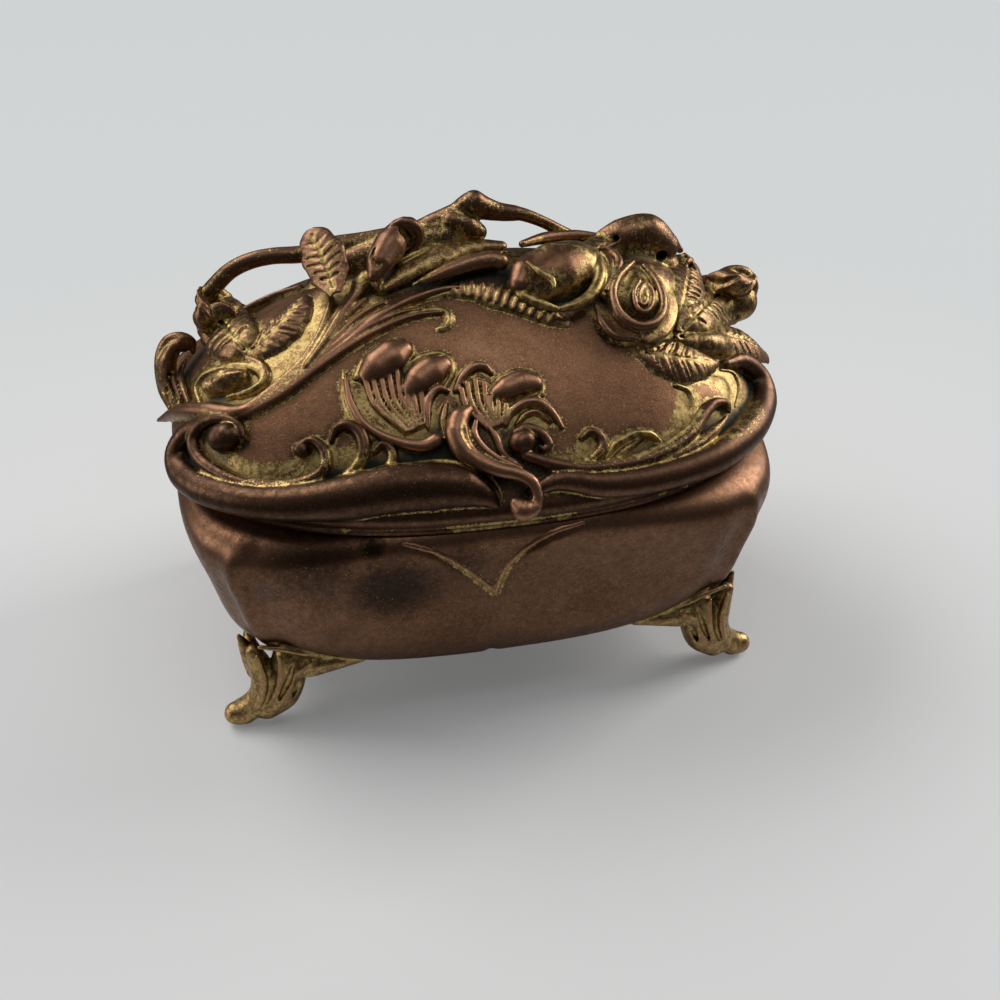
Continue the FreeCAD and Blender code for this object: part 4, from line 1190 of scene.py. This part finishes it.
def foot(piece, side, front):
    """A bracket foot: a keel down the corner to a flared toe, a fluted leaf face and two wings."""
    mirror = np.array([side, front, 1.0])

    def add(points, radii, kind, blend):
        piece.stroke(np.array(points, float) * mirror, radii, kind, blend=blend)

    keel = [(56.3, 36.3, 22.5), (55.2, 36.0, 17), (55.2, 35.4, 11), (57.4, 35.0, 6.4)]
    toe = [(60.4, 34.6, 3.6), (62.4, 34.6, 3.2)]
    add(keel + toe, (1.6, 2.6, 3.0, 3.0, 3.2, 2.7), "raise", 1.0)
    web = [(48.8, 36.6, 20.5), (49.6, 36.2, 14.2), (51.4, 35.6, 8.8), (55.0, 35.0, 4.8)]
    add(web, (3.4, 4.4, 4.3, 3.4), "raise", 1.2)
    wing = [(48, 37.0, 18.2), (43.0, 37.8, 18.2), (38.0, 38.4, 18.2), (32.6, 38.8, 17.8)]
    add(wing, (4.0, 3.2, 2.0, 0.6), "raise", 1.0)
    side_leaf = [(56.4, 33.0, 16.5), (58.0, 32.4, 20.5), (59.2, 32.2, 24.0)]
    add(side_leaf, (2.8, 1.6, 0.5), "raise", 0.8)
    side_wing = [(55.8, 31.5, 13.5), (57.2, 28.0, 15.6), (57.8, 24.6, 17.2), (57.8, 21.6, 18.2)]
    add(side_wing, (3.2, 2.3, 1.3, 0.6), "raise", 1.0)
    ribs = (
        [(55.4, 38.6, 22.6), (54.6, 39.0, 15.5), (56.4, 38.2, 8.4), (59.6, 37.2, 4.8)],
        [(50.6, 39.8, 22.6), (51.0, 40.0, 16.4), (53.4, 38.8, 9.8), (57.0, 37.6, 5.6)],
        [(44.2, 40.4, 20.2), (47.4, 40.4, 17.8), (50.4, 39.2, 12.0), (54.4, 37.8, 7.0)],
    )
    for rib in ribs:
        add(rib, (0.5, 0.8, 0.8, 0.4), "raise", 0.4)
    flutes = (
        [(53.0, 39.6, 21.6), (52.8, 39.8, 15.6), (55.0, 38.8, 8.8)],
        [(47.6, 40.6, 20.6), (49.4, 40.2, 15.4), (52.0, 39.2, 9.6)],
        [(43.4, 40.6, 17.8), (46.6, 40.0, 14.6), (49.6, 38.8, 9.0)],
        [(58.0, 33.6, 19.0), (57.8, 34.2, 13.0), (59.4, 34.4, 7.6)],
    )
    for flute in flutes:
        add(flute, (0.4, 0.8, 0.4), "carve", 0.5)
    border = [(54.6, 38.6, 25.2), (50.0, 39.4, 24.6), (45.0, 39.8, 22.8), (39.6, 39.6, 20.4)]
    add(border, (0.5, 0.7, 0.7, 0.3), "raise", 0.5)


def body_bracket(piece):
    """The gilt lines of the bracket on the front of the body."""
    piece.line_work(BRACKET_LEFT, 0.15, (0.15, 0.3, 0.4))
    piece.line_work(BRACKET_RIGHT, 0.15, (0.4, 0.35, 0.3, 0.15))
    brush(base_world, BRACKET, (0.8, 1.0, 1.3, 1.0, 0.8))


# Build the metal


lid_sculptures = []
for draw in LID_ORNAMENTS:
    sculpture = Ornament(draw.__name__)
    draw(sculpture)
    lid_sculptures.append(sculpture)

base_sculptures = []
for depth_name, front in (("front", -1), ("rear", 1)):
    for side_name, side in (("left", -1), ("right", 1)):
        sculpture = Ornament("foot_" + depth_name + "_" + side_name, base_world)
        foot(sculpture, side, front)
        base_sculptures.append(sculpture)
sculpture = Ornament("body_bracket", base_world)
body_bracket(sculpture)
base_sculptures.append(sculpture)

for sculpture in lid_sculptures + base_sculptures:
    sculpture.carve()
for pixels, radii in GILT_WASHES:
    brush(lid_world, [lid_world.on_skin(pixel, WASH_LIFT) for pixel in pixels], radii)
lid_maps = relief_maps(lid_world)
base_maps = relief_maps(base_world)

for sculpture in lid_sculptures + base_sculptures:
    points, faces = sculpture.polygons()
    on_lid = sculpture.world is lid_world
    is_foot = sculpture.name.startswith("foot_")
    piece = new_piece(sculpture.name + "_form", points, faces, "lid" if on_lid else "base")
    piece.data.materials.append(foot_gilt if is_foot else patina if on_lid else body_patina)
    least_wash = 0.0 if not on_lid else PLAIN_PIECES.get(sculpture.name, ORNAMENT_WASH)
    shade_attributes(piece.data, sculpture.world, lid_maps if on_lid else base_maps, points, least_wash)
    # Painted shade: each ornament's copper is darkened by a set amount
    darkness = SHADED_PIECES.get(sculpture.name, ORNAMENT_SHADE if on_lid else 0.0)
    paint(piece.data, "soot_and_shade", np.full(len(points), darkness))
    if sculpture.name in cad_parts:
        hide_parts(sculpture.name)

dome = lid_rings()
shell = body_rings()
corners = corner_curve(shell)
relieved_shell = [swollen(ridged(ring, corners)) for ring in shell]
for name, rings, relief, soot_and_shade, world, maps, body, material in (
    ("lid_casting", dome, dome, lip_shade, lid_world, lid_maps, "lid", patina),
    ("body_casting", shell, relieved_shell, body_darkening, base_world, base_maps, "base", body_patina),
):
    skin = np.vstack(rings)
    formed = np.vstack(relief)
    piece = new_piece(name + "_form", formed, rings_to_faces(rings), body)
    piece.data.materials.append(material)
    shade_attributes(piece.data, world, maps, skin)
    # Painted shade on the lid's lip, and darkening of the body
    paint(piece.data, "soot_and_shade", soot_and_shade(skin))
    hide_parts(name)


# Silk, cord, card and brass


SILK = (0.66, 0.52, 0.35, 1)
SILK_DARK = (0.50, 0.37, 0.23, 1)
SILK_SHEEN = (0.86, 0.74, 0.56, 1)
CORD = (0.62, 0.47, 0.26, 1)
CORD_DARK = (0.40, 0.27, 0.12, 1)
CARD = (0.30, 0.24, 0.17, 1)
CARD_DARK = (0.20, 0.155, 0.105, 1)
BRASS = (0.50, 0.34, 0.13, 1)
BRASS_DARK = (0.16, 0.10, 0.045, 1)


def mottled(name, light, dark, scale, metallic, roughness, bump_depth, sheen=None):
    """A material of two tones, broken up by noise, with a fine bump."""
    material, tree, shader = shader_graph(name)
    coarse = noise(tree, scale, 4.0, 0.6)
    fine = noise(tree, scale * 12, 3.0, 0.6)
    tone = plus(tree, times(tree, coarse, 0.6), times(tree, fine, 0.4))
    tree.links.new(blend(tree, ramp(tree, tone, 0.36, 0.64), dark, light), shader.inputs["Base Color"])
    tree.links.new(ramp(tree, fine, 0.3, 0.7, roughness - 0.06, roughness + 0.1), shader.inputs["Roughness"])
    shader.inputs["Metallic"].default_value = metallic
    if sheen:
        shader.inputs["Sheen Weight"].default_value = 0.6
        shader.inputs["Sheen Tint"].default_value = sheen
    bump = add_node(tree, "ShaderNodeBump", {"Strength": 0.4, "Distance": bump_depth, "Height": fine})
    tree.links.new(bump.outputs["Normal"], shader.inputs["Normal"])
    return material


silk = mottled("aged_silk", SILK, SILK_DARK, 60.0, 0.0, 0.5, 0.0002, SILK_SHEEN)
gimp = mottled("twisted_silk", CORD, CORD_DARK, 260.0, 0.0, 0.5, 0.0002, SILK_SHEEN)
card = mottled("grey_card", CARD, CARD_DARK, 90.0, 0.0, 0.85, 0.0002)
brass = mottled("aged_brass", BRASS, BRASS_DARK, 120.0, 0.95, 0.38, 0.0001)

LININGS = {"lid_lining": "lid"}
LININGS.update({"wall_pad_" + side: "base" for side in ("front", "back", "left", "right")})
CUSHION_VOXEL = 0.0022
CUSHION_SHRINK = 0.0002
CUSHION_SWELL = 0.0006
CUSHION_PRESSURE = 4.0
CUSHION_FRAMES = 20
LINING_VOXEL = 0.0009
LINING_SHRINK = 0.0001
GATHERS = 84
GATHER_DEPTH = 0.0006
GATHER_MIDDLE = 0.018


def soft_copy(node, voxel):
    """An even mesh over a soft solid, with the places and normals of its points."""
    piece = bpy.data.objects.new(node + "_silk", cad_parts[node].data.copy())
    bpy.context.scene.collection.objects.link(piece)
    bpy.context.view_layer.objects.active = piece
    remesh = piece.modifiers.new("remesh", "REMESH")
    remesh.mode = "VOXEL"
    remesh.voxel_size = voxel
    bpy.ops.object.modifier_apply(modifier="remesh")
    points = np.array([vertex.co for vertex in piece.data.vertices])
    normals = np.array([vertex.normal for vertex in piece.data.vertices])
    return piece, points, normals


def finish_pad(piece, node, body):
    piece.data.shade_smooth()
    piece.data.materials.clear()
    piece.data.materials.append(silk)
    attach(piece, body)
    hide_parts(node)


def cushion(node, body):
    """The floor cushion: its solid, drawn in a little and blown up again as cloth."""
    piece, points, normals = soft_copy(node, CUSHION_VOXEL)
    drawn = points - normals * CUSHION_SHRINK
    piece.data.vertices.foreach_set("co", drawn.ravel())
    swollen_to = drawn
    cloth = piece.modifiers.new("cloth", "CLOTH")
    cloth.settings.use_pressure = True
    cloth.settings.uniform_pressure_force = CUSHION_PRESSURE
    cloth.settings.effector_weights.gravity = 0.0
    for frame_number in range(1, CUSHION_FRAMES + 1):
        bpy.context.scene.frame_set(frame_number)
    solved = piece.evaluated_get(bpy.context.evaluated_depsgraph_get()).data
    swollen_to = np.array([vertex.co for vertex in solved.vertices])
    piece.modifiers.clear()
    bpy.context.scene.frame_set(1)
    move = swollen_to - drawn
    size = np.linalg.norm(move, axis=1, keepdims=True)
    move *= np.minimum(1, CUSHION_SWELL / np.maximum(size, 1e-9))
    piece.data.vertices.foreach_set("co", (drawn + move).ravel())
    smoother = piece.modifiers.new("subdivision", "SUBSURF")
    smoother.levels = smoother.render_levels = 1
    bpy.ops.object.modifier_apply(modifier="subdivision")
    finish_pad(piece, node, body)


def lining(node, body):
    """A thin silk lining: its solid, drawn in along gathers that run towards the middle."""
    piece, points, normals = soft_copy(node, LINING_VOXEL)
    turn = np.arctan2(points[:, 1], points[:, 0])
    spread_out = np.clip(np.linalg.norm(points[:, :2], axis=1) / GATHER_MIDDLE - 0.5, 0, 1)
    depth = LINING_SHRINK + GATHER_DEPTH * spread_out * (0.5 - 0.5 * np.cos(GATHERS * turn))
    piece.data.vertices.foreach_set("co", (points - normals * depth[:, None]).ravel())
    finish_pad(piece, node, body)


CORD_BINS = 240
CORD_STRANDS = 3
CORD_PITCH = 5.0
CORD_SIDES = 8
CORD_STEPS_PER_TURN = 10


def cord_ring(node):
    """The middle line of a closed cord, and its radius, read off its solid."""
    points = np.array([vertex.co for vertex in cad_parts[node].data.vertices]) / METRE
    turn = np.arctan2(points[:, 1], points[:, 0])
    bins = ((turn + math.pi) / (2 * math.pi) * CORD_BINS).astype(int) % CORD_BINS
    middles = []
    for index in range(CORD_BINS):
        inside = points[bins == index]
        if len(inside):
            middles.append((inside.min(axis=0) + inside.max(axis=0)) / 2)
    line = np.array(middles)
    height = points[:, 2].max() - points[:, 2].min()
    line[:, 2] = (points[:, 2].max() + points[:, 2].min()) / 2
    return line, height / 2


def twisted_cord(node, body):
    """Three strands twisted round the cord's middle line."""
    line, radius = cord_ring(node)
    steps = np.linalg.norm(np.roll(line, -1, axis=0) - line, axis=1)
    along = np.concatenate([[0], np.cumsum(steps)])
    turns = round(along[-1] / CORD_PITCH)
    count = turns * CORD_STEPS_PER_TURN
    place = np.linspace(0, along[-1], count, endpoint=False)
    closed = np.vstack([line, line[:1]])
    middle = np.column_stack([np.interp(place, along, closed[:, axis]) for axis in range(3)])
    ahead = np.roll(middle, -1, axis=0) - np.roll(middle, 1, axis=0)
    ahead /= np.linalg.norm(ahead, axis=1, keepdims=True)
    upward = np.array([0.0, 0.0, 1.0])
    sideways = np.cross(ahead, upward)
    points, faces = [], []
    for strand in range(CORD_STRANDS):
        angle = 2 * math.pi * (place / along[-1] * turns + strand / CORD_STRANDS)
        centre = middle + 0.5 * radius * (np.cos(angle)[:, None] * sideways + np.sin(angle)[:, None] * upward)
        base = len(points) * count
        for side in range(CORD_SIDES):
            round_angle = 2 * math.pi * side / CORD_SIDES
            around = math.cos(round_angle) * sideways + math.sin(round_angle) * upward
            points.append(centre + 0.5 * radius * around)
            for step in range(count):
                after = (step + 1) % count
                low = base + side * count
                high = base + (side + 1) % CORD_SIDES * count
                faces.append((low + step, low + after, high + after, high + step))
    piece = new_piece(node + "_twist", np.vstack(points), faces, body)
    piece.data.materials.append(gimp)
    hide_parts(node)


cushion("floor_pad", "base")
for node, body in LININGS.items():
    lining(node, body)
twisted_cord("mouth_cord", "base")
twisted_cord("lid_cord", "lid")

CARRIED_OVER = {"rim_back_roll": patina, "floor_board": card}
CARRIED_OVER.update({node: brass for node in ("hinge_leaf_body", "hinge_leaf_lid", "hinge_pin")})
for node, material in CARRIED_OVER.items():
    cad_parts[node].data.materials.clear()
    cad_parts[node].data.materials.append(material)


# Stage


FLOOR_SIDE = 3.0
PAPER = (0.80, 0.81, 0.81, 1)
DARK_ROOM = (0.05, 0.05, 0.05, 1)
PAPER_GLOW = (0.645, 0.665, 0.665, 1)
AMBIENT = (0.07, 0.07, 0.072, 1)
BACKDROP = (0.86, 0.87, 0.87, 1)
LIGHT_AIM = (0.0, 0.0, 0.06)


def floor():
    mesh = bpy.data.meshes.new("floor")
    corners = [(x * FLOOR_SIDE, y * FLOOR_SIDE, 0) for x, y in ((-1, -1), (1, -1), (1, 1), (-1, 1))]
    mesh.from_pydata(corners, [], [(0, 1, 2, 3)])
    ground = bpy.data.objects.new("floor", mesh)
    bpy.context.scene.collection.objects.link(ground)
    material, tree, shader = shader_graph("pale_floor")
    shader.inputs["Roughness"].default_value = 0.6
    place = add_node(tree, "ShaderNodeTexCoord").outputs["Object"]
    away = add_node(tree, "ShaderNodeVectorMath", {0: place}, operation="LENGTH").outputs["Value"]
    path = add_node(tree, "ShaderNodeLightPath")
    dark_room = times(tree, path.outputs["Is Glossy Ray"], ramp(tree, away, 0.07, 0.24))
    paper = blend(tree, dark_room, PAPER, DARK_ROOM)
    tree.links.new(paper, shader.inputs["Base Color"])
    glow = add_node(tree, "ShaderNodeEmission", {"Color": PAPER_GLOW, "Strength": 1.0})
    far_away = ramp(tree, away, 0.05, 0.33, 0.2, 0.97)
    share = times(tree, path.outputs["Is Camera Ray"], far_away)
    seen = add_node(tree, "ShaderNodeMixShader", {0: share})
    tree.links.new(shader.outputs[0], seen.inputs[1])
    tree.links.new(glow.outputs[0], seen.inputs[2])
    tree.links.new(seen.outputs[0], tree.nodes["Material Output"].inputs["Surface"])
    mesh.materials.append(material)


def area_light(name, place, aim, size, power, colour=(1, 1, 1)):
    light = bpy.data.lights.new(name, "AREA")
    light.shape = "RECTANGLE"
    light.size, light.size_y = size
    light.energy = power
    light.color = colour
    lamp = bpy.data.objects.new(name, light)
    lamp.location = place
    lamp.rotation_euler = (Vector(aim) - Vector(place)).to_track_quat("-Z", "Y").to_euler()
    bpy.context.scene.collection.objects.link(lamp)


def studio():
    world = bpy.data.worlds.new("studio")
    bpy.context.scene.world = world
    world.use_nodes = True
    tree = world.node_tree
    ambient = tree.nodes["Background"]
    ambient.inputs["Color"].default_value = AMBIENT
    backdrop = add_node(tree, "ShaderNodeBackground", {"Color": BACKDROP, "Strength": 1.0})
    path = add_node(tree, "ShaderNodeLightPath")
    seen = add_node(tree, "ShaderNodeMixShader", {0: path.outputs["Is Camera Ray"]})
    tree.links.new(ambient.outputs[0], seen.inputs[1])
    tree.links.new(backdrop.outputs[0], seen.inputs[2])
    tree.links.new(seen.outputs[0], tree.nodes["World Output"].inputs["Surface"])
    area_light("window", (-0.45, 0.35, 0.75), LIGHT_AIM, (0.7, 0.5), 4.6, (1.0, 0.98, 0.96))
    area_light("side", (0.75, 0.15, 0.45), LIGHT_AIM, (0.4, 0.5), 4.4, (1.0, 0.97, 0.94))
    area_light("low_left", (-0.75, 0.05, 0.22), LIGHT_AIM, (0.4, 0.35), 1.3, (1.0, 0.98, 0.96))
    area_light("overhead", (0.1, -0.25, 0.95), LIGHT_AIM, (0.6, 0.4), 1.2, (0.97, 0.98, 1.0))


def camera():
    data = bpy.data.cameras.new("camera")
    data.sensor_width = SENSOR_WIDTH
    data.lens = FOCAL_PIXELS / IMAGE_SIDE * SENSOR_WIDTH
    eye = bpy.data.objects.new("camera", data)
    eye.location = EYE * METRE
    toward = Vector(CAMERA_TARGET - EYE)
    eye.rotation_euler = toward.to_track_quat("-Z", "Y").to_euler()
    bpy.context.scene.collection.objects.link(eye)
    bpy.context.scene.camera = eye


floor()
studio()
camera()
bpy.context.scene.view_settings.view_transform = "Standard"
